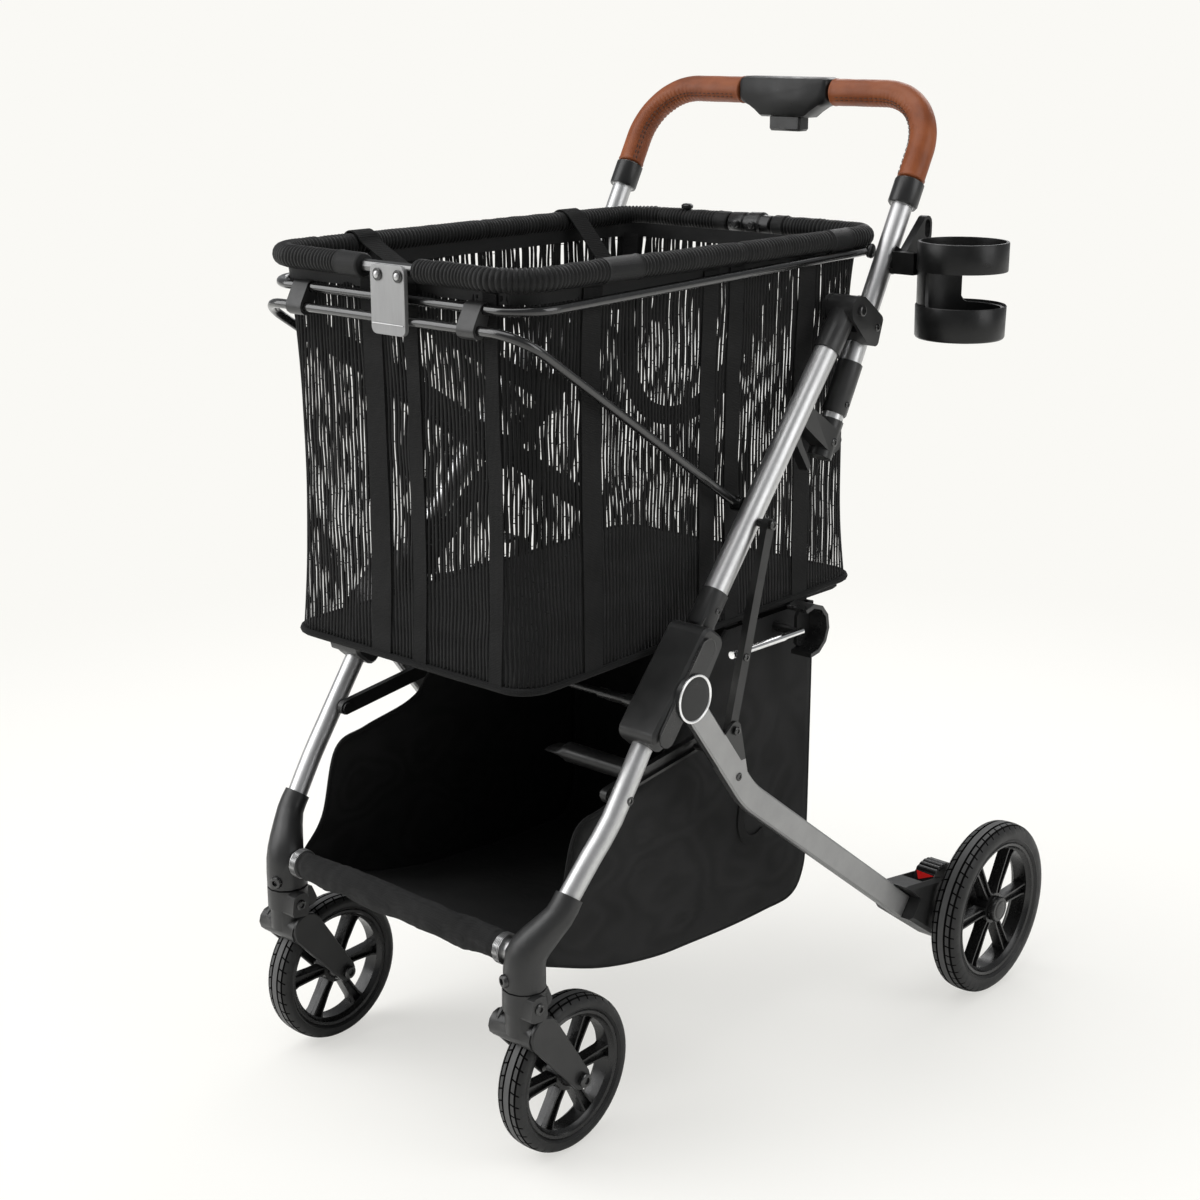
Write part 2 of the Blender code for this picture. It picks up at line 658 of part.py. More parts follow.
def build_rear_leg(side, tag, mats):
    """Flat leg with its head in the hinge, its studs, and the link bar."""
    head, knee, end = rear_leg_line(side)
    run = (end - knee).normalized()
    bm = bmesh.new()
    leg_section(bm, rounded([head, knee, end + run * 0.040], 0.110, 3), 0.0140, 0.0058, 0.0020)
    leg = make("rear_leg_" + tag, bm, mats["silver"])
    bm = bmesh.new()
    bar_x(bm, *in_x(side, LEG_IN, LEG_OUT), HINGE, 0.0143, 14)
    join(leg, "leg_head_" + tag, bm)
    bm = bmesh.new()
    tab = blob((TAB_PIN, 0.0095), ((0.1700, 0.3950), 0.0060), ((0.2080, 0.3530), 0.0060))
    prism(bm, tab, *in_x(side, 0.2339, 0.2367))
    join(leg, "tab_" + tag, bm)
    bm = bmesh.new()
    bar_x(bm, *in_x(side, 0.2240, 0.2390), TAB_PIN, 0.0030, 6)
    join(leg, "tab_pin_" + tag, bm)
    bm = bmesh.new()
    bar_x(bm, *in_x(side, 0.1977, 0.2260), STUD, 0.0032, 6)
    join(leg, "stud_" + tag, bm)
    pin_bore(leg, "leg_bore_" + tag, side, HINGE, PIN_R + PLAY)
    # link bar, a channel open on its inner side
    u = (Vector(LINK_TOP) - Vector(TAB_PIN)).normalized()
    v = Vector((u.y, -u.x))
    bm = bmesh.new()
    prism(bm, blob((TAB_PIN, 0.0064), (LINK_TOP, 0.0064), count=10), *in_x(side, 0.2255, 0.2336))
    link = make("link_bar_" + tag, bm, mats["dark"])
    ends = [Vector(TAB_PIN) + u * 0.012, Vector(LINK_TOP) - u * 0.012]
    channel = [ends[0] - v * 0.0044, ends[1] - v * 0.0044, ends[1] + v * 0.0044, ends[0] + v * 0.0044]
    bm = bmesh.new()
    prism(bm, [tuple(p) for p in channel], *in_x(side, 0.2200, 0.2315))
    cut(link, "channel_" + tag, bm)
    bm = bmesh.new()
    bar_x(bm, *in_x(side, 0.2100, 0.2400), TAB_PIN, 0.0036, 8)
    cut(link, "link_bore_" + tag, bm)
    bm = bmesh.new()
    bar_x(bm, *in_x(side, 0.2185, 0.2362), LINK_TOP, 0.0045, 8)
    join(link, "link_bolt_" + tag, bm)


def build_brake(side, tag, mats):
    """Housing on the foot of the rear leg with the wheel's axle, and the ribbed pedal hinged on its top."""
    outline = blob(((0.4505, 0.1460), 0.0170), ((0.5060, 0.1240), 0.0300), ((0.5450, 0.0930), 0.0280),
                   ((REAR_Y, REAR_R), 0.0240), count=14)
    bm = bmesh.new()
    prism(bm, outline, *in_x(side, 0.2480, 0.2860))
    housing = make("brake_housing_" + tag, bm, mats["black"])
    bevel(housing, 0.0040)
    bm = bmesh.new()
    profile = [(0, 0.0110), (0.0065, 0.0110), (0.0065, 0.0045), (0.0360, 0.0045)]
    lathe(bm, (side * 0.2820, REAR_Y, REAR_R), (side, 0, 0), profile)
    join(housing, "axle_rear_" + tag, bm)
    # socket of the leg
    _, knee, end = rear_leg_line(side)
    run = (end - knee).normalized()
    bm = bmesh.new()
    leg_section(bm, [end - run * 0.050, end + run * 0.0405], 0.0144, 0.0064, 0.0020)
    cut(housing, "leg_end_" + tag, bm)
    # the housing is open over the leg's outer face
    flat = Vector((0, -run.z, run.y)).normalized() * 0.0144
    along = Vector((0, run.y, run.z)).normalized()
    window = [end - along * 0.060 - flat, end + along * 0.0405 - flat, end + along * 0.0405 + flat, end - along * 0.060 + flat]
    bm = bmesh.new()
    prism(bm, [(q.y, q.z) for q in window], *in_x(side, 0.2660, 0.2900))
    cut(housing, "leg_window_" + tag, bm)
    # bay of the pedal on the upper back of the housing
    bm = bmesh.new()
    bay = [(0.4840, 0.1530), (0.5130, 0.1420), (0.5130, 0.1214), (0.6300, 0.1214), (0.6300, 0.2000), (0.4840, 0.2000)]
    prism(bm, bay, *in_x(side, 0.2530, 0.2810))
    cut(housing, "pedal_bay_" + tag, bm)
    top = [(0.5190, 0.1330), (0.5165, 0.1450), (0.4990, 0.1525), (0.4890, 0.1580)]
    for k in range(6):
        y = 0.4950 + 0.0100 * k
        z = 0.1672 - 0.00035 * (k - 1.5) ** 2
        top += [(y, z), (y + 0.0030, z + 0.0024), (y + 0.0060, z + 0.0024)]
    top += [(0.5570, 0.1600), (0.5570, 0.1520), (0.5420, 0.1440), (0.5335, 0.1325)]
    bm = bmesh.new()
    prism(bm, top, *in_x(side, 0.2534, 0.2806))
    pedal = make("brake_pedal_" + tag, bm, mats["black"], "pedal_axis_" + tag)
    bm = bmesh.new()
    bar_x(bm, *in_x(side, 0.2534, 0.2806), PEDAL_PIVOT, 0.0078, 10)
    join(pedal, "pedal_hub_" + tag, bm)


def build_stay(side, tag, mats):
    """Channel stay that runs from the front leg over the rear leg's stud. The near one carries a short arm."""
    u = (Vector((STUD[0], STUD[1] + 0.0002)) - Vector(STAY_FOOT)).normalized()
    v = Vector((u.y, -u.x))
    tip = Vector(STAY_FOOT) + u * 0.150
    bm = bmesh.new()
    prism(bm, blob((STAY_FOOT, 0.0080), (tuple(tip), 0.0080)), *in_x(side, 0.1905, 0.1972))
    stay = make("stay_" + tag, bm, mats["dark"], "stay_axis_" + tag)
    near_end = Vector(STAY_FOOT) + u * 0.024
    channel = [near_end - v * 0.0050, tip - v * 0.0050, tip + v * 0.0050, near_end + v * 0.0050]
    bm = bmesh.new()
    prism(bm, [tuple(p) for p in channel], *in_x(side, 0.1932, 0.2000))
    cut(stay, "stay_channel_" + tag, bm)
    bm = bmesh.new()
    bar_x(bm, *in_x(side, 0.1880, 0.1975), STAY_FOOT, 0.0062)
    join(stay, "stay_bolt_" + tag, bm)
    if side > 0:
        centre = tuple(Vector(STAY_FOOT) + u * 0.0505)
        path = [at(x, centre) for x in (0.1920, 0.0950, 0.0880, 0.0730)]
        bm = bmesh.new()
        skin(bm, sections(bm, path, [0.0105, 0.0105, 0.0125, 0.0130], [0.0105, 0.0105, 0.0045, 0.0025], (0, 0, 1), 12))
        join(stay, "stay_arm", bm)


def build_rear_rods(mats):
    """Chrome rods behind the link bars, and the yoke with the curved clips that hold them."""
    for side, tag in ((1, "near"), (-1, "far")):
        bm = bmesh.new()
        lathe(bm, at(side * 0.2185, ROD_START), (0, 1, -0.01), [(0, 0.0040), (CLIP[0] - ROD_START[0] - 0.0040, 0.0040)], 10)
        rod_ob = make("side_rod_" + tag, bm, mats["chrome"])
        bm = bmesh.new()
        bar_x(bm, *in_x(side, 0.2185, 0.2252), (ROD_START[0] + 0.0060, ROD_START[1]), 0.0034, 8)
        join(rod_ob, "rod_lug_" + tag, bm)
    bm = bmesh.new()
    bar_x(bm, -0.2080, 0.2080, (CLIP[0] + 0.0020, 0.4735), 0.0050)
    yoke = make("bag_yoke", bm, mats["black"])
    for side, tag in ((1, "near"), (-1, "far")):
        outer = circle(CLIP, 0.0290, 8, 118, -96, False)
        inner = circle(CLIP, 0.0245, 8, -96, 118, False)
        bm = bmesh.new()
        prism(bm, outer + inner, *in_x(side, 0.2045, 0.2305))
        join(yoke, "clip_" + tag, bm)
        bm = bmesh.new()
        web = hull(circle(CLIP, 0.0270, 5, 70, -70, False) + [(CLIP[0] + 0.0010, 0.4900), (CLIP[0] + 0.0010, 0.4600)])
        prism(bm, web, *in_x(side, 0.2045, 0.2085))
        join(yoke, "clip_web_" + tag, bm)


def build_hoops(mats):
    """Two wire hoops round the basket and the clips that join them at the front."""
    x = HOOP_X
    front = (-0.0470, 0.8450)
    back = (0.4765, 0.8586)
    low = (-0.0550, 0.8265)
    foot = (0.2570, 0.6215)
    for name, start, nose, radius in (("hoop_upper", back, front, 0.040), ("hoop_lower", foot, low, 0.034)):
        bm = bmesh.new()
        path = rounded([(x, *start), (x, *nose), (-x, *nose), (-x, *start)], radius, 3)
        rod(bm, path, HOOP_R, (0, 0.2, 1), 8)
        hoop = make(name, bm, mats["dark"])
        for side, tag in ((1, "near"), (-1, "far")):
            reach = (0.1822, 0.1860) if name == "hoop_upper" else (0.1780, 0.1911)
            bm = bmesh.new()
            bar_x(bm, *in_x(side, *reach), start, 0.0080, 8)
            join(hoop, name + "_eye_" + tag, bm)
    for side, tag in ((1, "near"), (-1, "far")):
        bm = bmesh.new()
        prism(bm, blob((front, 0.0066), (low, 0.0084), count=10), *in_x(side, 0.1080, 0.1300))
        clip = make("hoop_clip_" + tag, bm, mats["black"])
        for k, centre in enumerate((front, low)):
            bm = bmesh.new()
            bar_x(bm, *in_x(side, 0.1000, 0.1450), centre, HOOP_R + PLAY, 8)
            cut(clip, "clip_bore_%d_%s" % (k, tag), bm)


def corner_loop(half, front, back, radius, steps=3):
    """An (x, y) rectangle with rounded corners."""
    out = []
    for cx, cy, start in ((1, 1, 0), (-1, 1, 90), (-1, -1, 180), (1, -1, 270)):
        px = cx * (half - radius)
        py = (back - radius) if cy > 0 else (front + radius)
        out += circle((px, py), radius, steps + 1, start, start + 90, False)
    return out


def build_basket(mats):
    """Padded rim, its bare front tube with the hook plate, mesh bag with a piped base, and the board."""
    right = [(0.0465, RIM_FRONT), (RIM_HALF, RIM_FRONT), (RIM_HALF, RIM_BACK)]
    left = [(-RIM_HALF, RIM_BACK), (-RIM_HALF, RIM_FRONT), (-0.0300, RIM_FRONT)]
    bm = bmesh.new()
    rod(bm, rounded([(a, b, RIM_Z) for a, b in right + left], 0.046, 3), RIM_R, (0, 0, 1), 10)
    rim = make("basket_rim", bm, mats["cloth"])
    bm = bmesh.new()
    bar_x(bm, -0.0480, 0.0700, (RIM_FRONT, RIM_Z), 0.0064, 8)
    cut(rim, "rim_bore", bm)
    # webbing straps over the far rim
    for k, y in enumerate((0.0700, 0.3860)):
        over = circle((-RIM_HALF, RIM_Z), 0.0126, 6, 200, 0, False)
        under = circle((-RIM_HALF, RIM_Z), 0.0100, 6, 0, 200, False)
        tail = [(-RIM_HALF + 0.0126, RIM_Z - 0.0250), (-RIM_HALF + 0.0100, RIM_Z - 0.0250)]
        bm = bmesh.new()
        lengthways(bm, over + tail + under, y - 0.0145, y + 0.0145)
        join(rim, "strap_%d" % k, bm)
    # joint block in the back rim and the knob beside it
    bm = bmesh.new()
    lathe(bm, (-0.0275, RIM_BACK, RIM_Z), (1, 0, 0), [(0, 0.0140), (0.0590, 0.0140)], 10)
    join(rim, "rim_joint", bm)
    bm = bmesh.new()
    lathe(bm, (-0.0950, RIM_BACK, RIM_Z + 0.0060), (0, 0, 1), [(0, 0.0045), (0.0080, 0.0045), (0.0130, 0.0065)], 8)
    join(rim, "rim_knob", bm)
    bm = bmesh.new()
    bar_x(bm, -0.0450, 0.0670, (RIM_FRONT, RIM_Z), 0.0060, 8)
    make("rim_tube", bm, mats["dark"])
    # hook plate folded over the bare tube
    over = circle((RIM_FRONT, RIM_Z), 0.0125, 6, 25, 180, False)
    under = circle((RIM_FRONT, RIM_Z), 0.0107, 6, 180, 25, False)
    fold = [(-0.0625, 0.8130), (-0.0650, 0.8120), (-0.0650, 0.8102), (-0.0607, 0.8108)]
    bm = bmesh.new()
    prism(bm, over + fold + under, -0.0035, 0.0440)
    make("hook_plate", bm, mats["silver"])
    # bag: outer skin with the piping at its foot, inner skin and floor
    levels = [(BAG_FOOT, 0.0020, 0.0300), (BAG_FOOT + 0.0040, -0.0010, 0.0300), (BAG_FOOT + 0.0080, 0.0, 0.0300)]
    levels += [(BAG_FOOT + 0.0110, 0.0030, 0.0300), (BAG_TOP, 0.0, 0.0300), (BAG_TOP, WALL, 0.0300 - WALL)]
    levels += [(BAG_FOOT + 0.0030, 0.0030 + WALL, 0.0300 - WALL)]
    bm = bmesh.new()
    rings = []
    for z, inset, radius in levels:
        loop = corner_loop(BAG_HALF - inset, BAG_FRONT + inset, BAG_BACK - inset, radius)
        rings.append([bm.verts.new((a, b, z)) for a, b in loop])
    skin(bm, rings)
    make("basket_bag", bm, mats["mesh"])
    bm = bmesh.new()
    board = corner_loop(BAG_HALF - 0.0066, BAG_FRONT + 0.0066, BAG_BACK - 0.0066, 0.026)
    upright(bm, board, BAG_FOOT + 0.0034, BAG_FOOT + 0.0074)
    make("basket_board", bm, mats["cloth"])
    # tube across the hinges under the basket's front, with a sleeve on each end
    half = [(0.0, 0.0070), (0.0180, 0.0070), (0.0200, 0.0056), (0.0530, 0.0056), (0.0532, 0.0038)]
    span = 2 * (HOUSING_IN - GAP)
    bm = bmesh.new()
    lathe(bm, (-span / 2, 0.0995, 0.4485), (1, 0, 0), half + [(span - a, r) for a, r in half[::-1]], 10)
    make("basket_cross_tube", bm, mats["dark"], "front_fold_axis")


def build_lower_bag(mats):
    """Floor, back and side panels in one shell, open at the front and the top."""
    side = [(0.4000, 0.4640), (0.4010, 0.1980), (0.3940, 0.1560), (0.3720, 0.1440), (0.2650, 0.1470), (0.1360, 0.1570)]
    side += [(0.0550, 0.1740), (-0.0330, 0.2080)]
    front = [(-0.0330, 0.2260), (-0.0050, 0.2600), (0.0180, 0.3350), (0.0620, 0.3470), (0.1300, 0.3600), (0.1600, 0.3860)]
    front += [(0.2300, 0.4640)]
    half = LOWER_HALF
    bm = bmesh.new()
    prism(bm, side + front, -half, half)
    bag = make("lower_bag", bm, mats["cloth"])
    t = WALL
    inner = [(0.4000 - t, 0.5000), (0.4010 - t, 0.1990), (0.3918, 0.1576), (0.3712, 0.1466), (0.2651, 0.1496)]
    inner += [(0.1363, 0.1595), (0.0557, 0.1765), (-0.0500, 0.2174), (-0.1000, 0.3000), (-0.1000, 0.5000)]
    bm = bmesh.new()
    prism(bm, inner, t - half, half - t)
    cut(bag, "bag_inside", bm)


def build_handle(mats):
    """Handle tube with its ferrules and claws, grips, cover and trigger."""
    home = "handle_axis"
    normal = Vector((0, HANDLE_RUN.z, -HANDLE_RUN.y))
    foot = handle_point(HANDLE_FOOT_Z)
    top = handle_point(CROSS_BAR_Z)
    corners = [at(TUBE_X, foot), at(TUBE_X, top), at(-TUBE_X, top), at(-TUBE_X, foot)]
    path = rounded(corners, 0.066, 5)
    bm = bmesh.new()
    rod(bm, path, HANDLE_R, normal)
    tube = make("handle_tube", bm, mats["silver"], home)
    for side, tag in ((1, "near"), (-1, "far")):
        x = side * TUBE_X
        bm = bmesh.new()
        lathe(bm, at(x, handle_point(0.9040)), HANDLE_RUN, [(0, 0.0150), (0.0020, 0.0162), (0.0275, 0.0162)])
        join(tube, "ferrule_" + tag, bm)
        # claw: a foot on the tube's end with an arm that seats on the back of the upper tube
        bm = bmesh.new()
        lathe(bm, at(x, handle_point(0.6530)), HANDLE_RUN, [(0, 0.0132), (0.0420, 0.0132)])
        join(tube, "claw_foot_" + tag, bm)
        bm = bmesh.new()
        arm = hull([hinge_point(0.316, 0.0080), hinge_point(0.338, 0.0080)] + circle(handle_point(0.6700), 0.0128, 8))
        prism(bm, arm, *in_x(side, 0.1905, 0.2105))
        arm_ob = make("tool_claw_arm_" + tag, bm, mats["black"])
        arm_ob.hide_render = True
        arm_ob.display_type = "WIRE"
        bm = bmesh.new()
        direction = upper_point(side, 1.0) - upper_point(side, 0.0)
        lathe(bm, upper_point(side, 0.20), direction, [(0, UPPER_R + 0.0004), (0.2, UPPER_R + 0.0004)])
        cut(arm_ob, "claw_saddle_" + tag, bm)
        bm = bmesh.new()
        front = [hinge_point(0.20, -0.06), hinge_point(0.42, -0.06), hinge_point(0.42, 0.0095), hinge_point(0.20, 0.0095)]
        prism(bm, front, *in_x(side, 0.1700, 0.2300))
        cut(arm_ob, "claw_front_" + tag, bm)
        join(tube, "claw_arm_" + tag, arm_ob)
        # grip from the ferrule to the cover
        half_path = path if side > 0 else path[::-1]
        bend = [p for p in half_path if p.z > 0.9400 and p.x * side > COVER_HALF + 0.010]
        line = [at(x, handle_point(0.9300))] + bend + [at(side * (COVER_HALF + 0.0004), top)]
        bm = bmesh.new()
        outer = sections(bm, line, GRIP_R, GRIP_R, normal, 12)
        inner = sections(bm, line, HANDLE_R + GAP, HANDLE_R + GAP, normal, 12)
        pipe(bm, outer, inner)
        make("grip_" + tag, bm, mats["leather"], home)
    # cover: a slim housing round the cross bar, deeper in the middle where the trigger sits
    y, z = top
    right = [(COVER_HALF, z + 0.0160), (COVER_HALF, z - 0.0125), (0.0500, z - 0.0165), (0.0400, z - 0.0225)]
    right += [(0.0320, z - 0.0285)]
    face = right + [(-a, b) for a, b in right[::-1]]
    bm = bmesh.new()
    lengthways(bm, face, y - 0.0165, y + 0.0165)
    cover = make("handle_cover", bm, mats["black"], home)
    bevel(cover, 0.0070, 2, 50.0)
    bm = bmesh.new()
    bar_x(bm, -0.10, 0.10, top, HANDLE_R + GAP)
    cut(cover, "cover_bore", bm)
    bm = bmesh.new()
    block(bm, (-0.0228, y - 0.0103, z - 0.0400), (0.0228, y + 0.0103, z - 0.0136))
    cut(cover, "trigger_bay", bm)
    bm = bmesh.new()
    block(bm, (-0.0220, y - 0.0095, z - 0.0440), (0.0220, y + 0.0095, z - 0.0215))
    bevel(make("trigger", bm, mats["black"], "trigger_axis"), 0.0025)


def build_pivot_bracket(side, tag, mats):
    """Cheek plates and saddle on the handle tube that take the pivot bolt, and the lock sleeve below."""
    x = side * TUBE_X
    bm = bmesh.new()
    outline = blob((HANDLE_PIVOT, 0.0157), ((0.4490, 0.7905), 0.0065), ((0.4430, 0.7700), 0.0060),
                   ((0.4330, 0.7720), 0.0060))
    prism(bm, outline, *in_x(side, TUBE_X - 0.0195, TUBE_X + 0.0195))
    bracket = make("pivot_bracket_" + tag, bm, mats["black"], "handle_axis")
    bm = bmesh.new()
    gap = blob((HANDLE_PIVOT, 0.0172), (hinge_point(UPPER_LENGTH - 0.08, -0.006), 0.0172), count=16)
    prism(bm, gap, *in_x(side, TUBE_X - 0.0153, TUBE_X + 0.0153))
    cut(bracket, "eye_gap_" + tag, bm)
    bm = bmesh.new()
    lathe(bm, at(x, handle_point(0.7000)), HANDLE_RUN, [(0, HANDLE_R + GAP), (0.16, HANDLE_R + GAP)])
    cut(bracket, "bracket_bore_" + tag, bm)
    bm = bmesh.new()
    profile = [(0, 0.0060), (0.0025, 0.0060), (0.0025, 0.0035), (0.0415, 0.0035), (0.0415, 0.0060), (0.0440, 0.0060)]
    lathe(bm, at(x - 0.0220, HANDLE_PIVOT), (1, 0, 0), profile, 8)
    join(bracket, "pivot_bolt_" + tag, bm)
    bm = bmesh.new()
    wall = [(0, 0.0128), (0.0015, 0.0137), (0.0580, 0.0137), (0.0580, HANDLE_R + GAP), (0, HANDLE_R + GAP)]
    lathe(bm, at(x, handle_point(0.6955)), HANDLE_RUN, wall, 12, True)
    make("lock_sleeve_" + tag, bm, mats["black"], "lock_axis_" + tag)


def build_cup_holder(mats):
    """Cup with an open window, on an arm with a sprung clamp and a thumb loop."""
    cx, cy = CUP
    r = CUP_R
    t = 0.0030
    profile = [(0, r - 0.0050), (0.0050, r - 0.0010), (CUP_HEIGHT, r), (CUP_HEIGHT, r - t), (0.0035, r - t - 0.0030)]
    bm = bmesh.new()
    skin(bm, [[bm.verts.new((a, b, CUP_FOOT + h)) for a, b in circle(CUP, q, 22)] for h, q in profile])
    cup = make("cup_holder", bm, mats["black"], "handle_axis")
    # the window is open all round but for a web at the back left
    bm = bmesh.new()
    rings = []
    for z, trim in ((0.8063, 7.5), (0.8080, 3.2), (0.8120, 0.6), (0.8405, 0.6), (0.8445, 3.2), (0.8462, 7.5)):
        wedge = [CUP] + circle(CUP, 0.0620, 10, trim - 112, 122 - trim, False)
        rings.append([bm.verts.new((a, b, z)) for a, b in wedge])
    skin(bm, rings)
    cut(cup, "cup_window", bm)
    y = handle_point(0.8520)[0]
    bm = bmesh.new()
    lathe(bm, at(TUBE_X, handle_point(0.8410)), HANDLE_RUN, [(0, 0.0160), (0.0240, 0.0160)])
    clamp = make("tool_cup_clamp", bm, mats["black"])
    clamp.hide_render = True
    clamp.display_type = "WIRE"
    bm = bmesh.new()
    block(bm, (TUBE_X + 0.0060, y - 0.0080, 0.8370), (cx - r + 0.0025, y + 0.0080, 0.8600))
    join(clamp, "cup_arm", bm)
    bm = bmesh.new()
    lathe(bm, at(TUBE_X, handle_point(0.7500)), HANDLE_RUN, [(0, HANDLE_R + GAP), (0.2, HANDLE_R + GAP)])
    cut(clamp, "cup_clamp_bore", bm)
    bm = bmesh.new()
    block(bm, (0.1700, y - 0.0500, 0.8000), (TUBE_X - HANDLE_R + 0.0010, y + 0.0500, 0.9000))
    cut(clamp, "cup_clamp_mouth", bm)
    # the tube's front stays bare
    middle = at(TUBE_X, handle_point(0.8520))
    front = Vector((0, -HANDLE_RUN.z, HANDLE_RUN.y))
    away = [middle - HANDLE_RUN * 0.040 + front * 0.0040, middle + HANDLE_RUN * 0.040 + front * 0.0040]
    away += [away[1] + front * 0.040, away[0] + front * 0.040]
    bm = bmesh.new()
    prism(bm, [(q.y, q.z) for q in away], 0.1700, 0.2120)
    cut(clamp, "cup_clamp_front", bm)
    join(cup, "cup_clamp", clamp)
    bm = bmesh.new()
    loop = blob(((0.5275, 0.8860), 0.0085), ((0.5275, 0.8740), 0.0085), ((0.4950, 0.8540), 0.0085))
    prism(bm, loop, 0.2120, 0.2210)
    loop = make("tool_thumb_loop", bm, mats["black"])
    loop.hide_render = True
    loop.display_type = "WIRE"
    bm = bmesh.new()
    prism(bm, blob(((0.5275, 0.8860), 0.0048), ((0.5275, 0.8760), 0.0048), count=10), 0.2100, 0.2400)
    cut(loop, "thumb_hole", bm)
    join(cup, "thumb_loop", loop)


def build_axes():
    cart = bpy.data.objects.new("cart", None)
    bpy.context.collection.objects.link(cart)
    cart.location = (0, -MIDDLE, 0)
    HOMES["cart"] = Vector((0, 0, 0))
    axis_empty("front_fold_axis", (0, *HINGE))
    axis_empty("handle_axis", (0, *HANDLE_PIVOT))
    top = handle_point(CROSS_BAR_Z)
    axis_empty("trigger_axis", (0, top[0], top[1] - 0.030), "handle_axis")
    for side, tag in ((1, "near"), (-1, "far")):
        axis_empty("caster_axis_" + tag, (side * CASTER_X, CASTER_Y, 0.17), "front_fold_axis")
        axis_empty("wheel_axis_front_" + tag, (side * FRONT_X, 0, FRONT_R), "caster_axis_" + tag)
        axis_empty("wheel_axis_rear_" + tag, (side * REAR_X, REAR_Y, REAR_R))
        axis_empty("pedal_axis_" + tag, (side * 0.2670, *PEDAL_PIVOT))
        axis_empty("stay_axis_" + tag, (side * 0.1940, *STAY_FOOT), "front_fold_axis")
        axis_empty("lock_axis_" + tag, (side * TUBE_X, *handle_point(0.7200)), "handle_axis")


def main():
    clear_scene()
    mats = {
        "black": material("black_moulding", (0.022, 0.022, 0.023), 0.45),
        "dark": material("black_steel", (0.030, 0.030, 0.032), 0.30, 0.6),
        "silver": material("satin_aluminium", (0.62, 0.62, 0.61), 0.30, 0.9),
        "chrome": material("chrome_steel", (0.75, 0.75, 0.76), 0.10, 1.0),
        "steel": material("grey_steel", (0.45, 0.45, 0.45), 0.30, 0.9),
        "leather": material("tan_leather", (0.36, 0.15, 0.06), 0.50),
        "cloth": material("black_cloth", (0.020, 0.020, 0.021), 0.90),
        "mesh": material("black_mesh", (0.028, 0.028, 0.029), 0.85),
        "tyre": material("dark_tyre", (0.050, 0.050, 0.052), 0.75),
    }
    build_axes()
    for side, tag in ((1, "near"), (-1, "far")):
        build_hinge(side, tag, mats)
        build_upper(side, tag, mats)
        build_front_leg(side, tag, mats)
        build_caster(side, tag, mats)
        build_wheel("front_" + tag, mats, (side * FRONT_X, 0.0, FRONT_R), FRONT_R, 0.0675, 0.0160, 0.0205, 0)
        build_wheel("rear_" + tag, mats, (side * REAR_X, REAR_Y, REAR_R), REAR_R, 0.0800, 0.0170, 0.0175, side)
        build_rear_leg(side, tag, mats)
        build_brake(side, tag, mats)
        build_stay(side, tag, mats)
        build_pivot_bracket(side, tag, mats)
    build_crossbar(mats)
    build_rear_rods(mats)
    build_hoops(mats)
    build_basket(mats)
    build_lower_bag(mats)
    build_handle(mats)
    build_cup_holder(mats)


main()
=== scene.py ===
"""Looks of the shopping rollator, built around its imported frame."""
import math

import bmesh
import bpy
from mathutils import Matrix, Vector, noise


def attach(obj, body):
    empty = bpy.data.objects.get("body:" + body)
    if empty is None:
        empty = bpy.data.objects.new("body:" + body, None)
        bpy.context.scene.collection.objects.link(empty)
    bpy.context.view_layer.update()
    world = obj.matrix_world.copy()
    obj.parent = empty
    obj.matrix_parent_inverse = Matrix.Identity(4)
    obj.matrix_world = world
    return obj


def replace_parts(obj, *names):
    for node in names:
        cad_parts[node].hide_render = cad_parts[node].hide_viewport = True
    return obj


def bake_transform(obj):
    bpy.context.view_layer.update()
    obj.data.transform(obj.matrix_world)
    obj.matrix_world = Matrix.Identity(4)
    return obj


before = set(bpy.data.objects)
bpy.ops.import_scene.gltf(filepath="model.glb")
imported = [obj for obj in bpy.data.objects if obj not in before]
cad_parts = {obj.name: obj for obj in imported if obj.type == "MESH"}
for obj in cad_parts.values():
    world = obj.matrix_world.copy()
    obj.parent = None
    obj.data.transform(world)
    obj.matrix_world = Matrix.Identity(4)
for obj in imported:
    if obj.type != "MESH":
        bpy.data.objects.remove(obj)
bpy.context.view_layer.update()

UP = Vector((0, 0, 1))
ACROSS = Vector((1, 0, 0))
SIDES = ((1, "near"), (-1, "far"))

# Sizes are in metres. y counts from the front axle line to the back, and pairs are y and z.
MIDDLE = 0.3020
HINGE = (0.1182, 0.4604)
PIVOT = (0.4140, 0.8045)
HANDLE_X = 0.198
FRONT_WHEEL_X, FRONT_R = 0.1763, 0.0825
REAR_WHEEL_X, REAR_Y, REAR_R = 0.3077, 0.5854, 0.1015


def cart(x, y, z):
    """A point whose y counts from the front axle line."""
    return Vector((x, y - MIDDLE, z))


# Materials

def blank(name, rough, metal=0.0, gloss=0.5, **plain):
    """A new material and its node tree. Further shader values go by their names."""
    mat = bpy.data.materials.new(name)
    mat.use_nodes = True
    bsdf = mat.node_tree.nodes["Principled BSDF"]
    values = {"Roughness": rough, "Metallic": metal, "Specular IOR Level": gloss}
    for key, value in {**values, **plain}.items():
        bsdf.inputs[key.replace("_", " ")].default_value = value
    return mat, mat.node_tree


def node_of(tree, kind, sockets, **marks):
    """A new node. Each socket gets a link or a plain value, and marks are the node's own settings."""
    node = tree.nodes.new("ShaderNode" + kind)
    for key, value in marks.items():
        setattr(node, key, value)
    for key, value in sockets.items():
        if isinstance(value, bpy.types.NodeSocket):
            tree.links.new(value, node.inputs[key])
        else:
            node.inputs[key].default_value = value
    return node


def place_of(tree):
    return node_of(tree, "TexCoord", {}).outputs["Object"]


def coords(tree, scale=(1, 1, 1)):
    return node_of(tree, "Mapping", {"Scale": scale, "Vector": place_of(tree)}).outputs["Vector"]


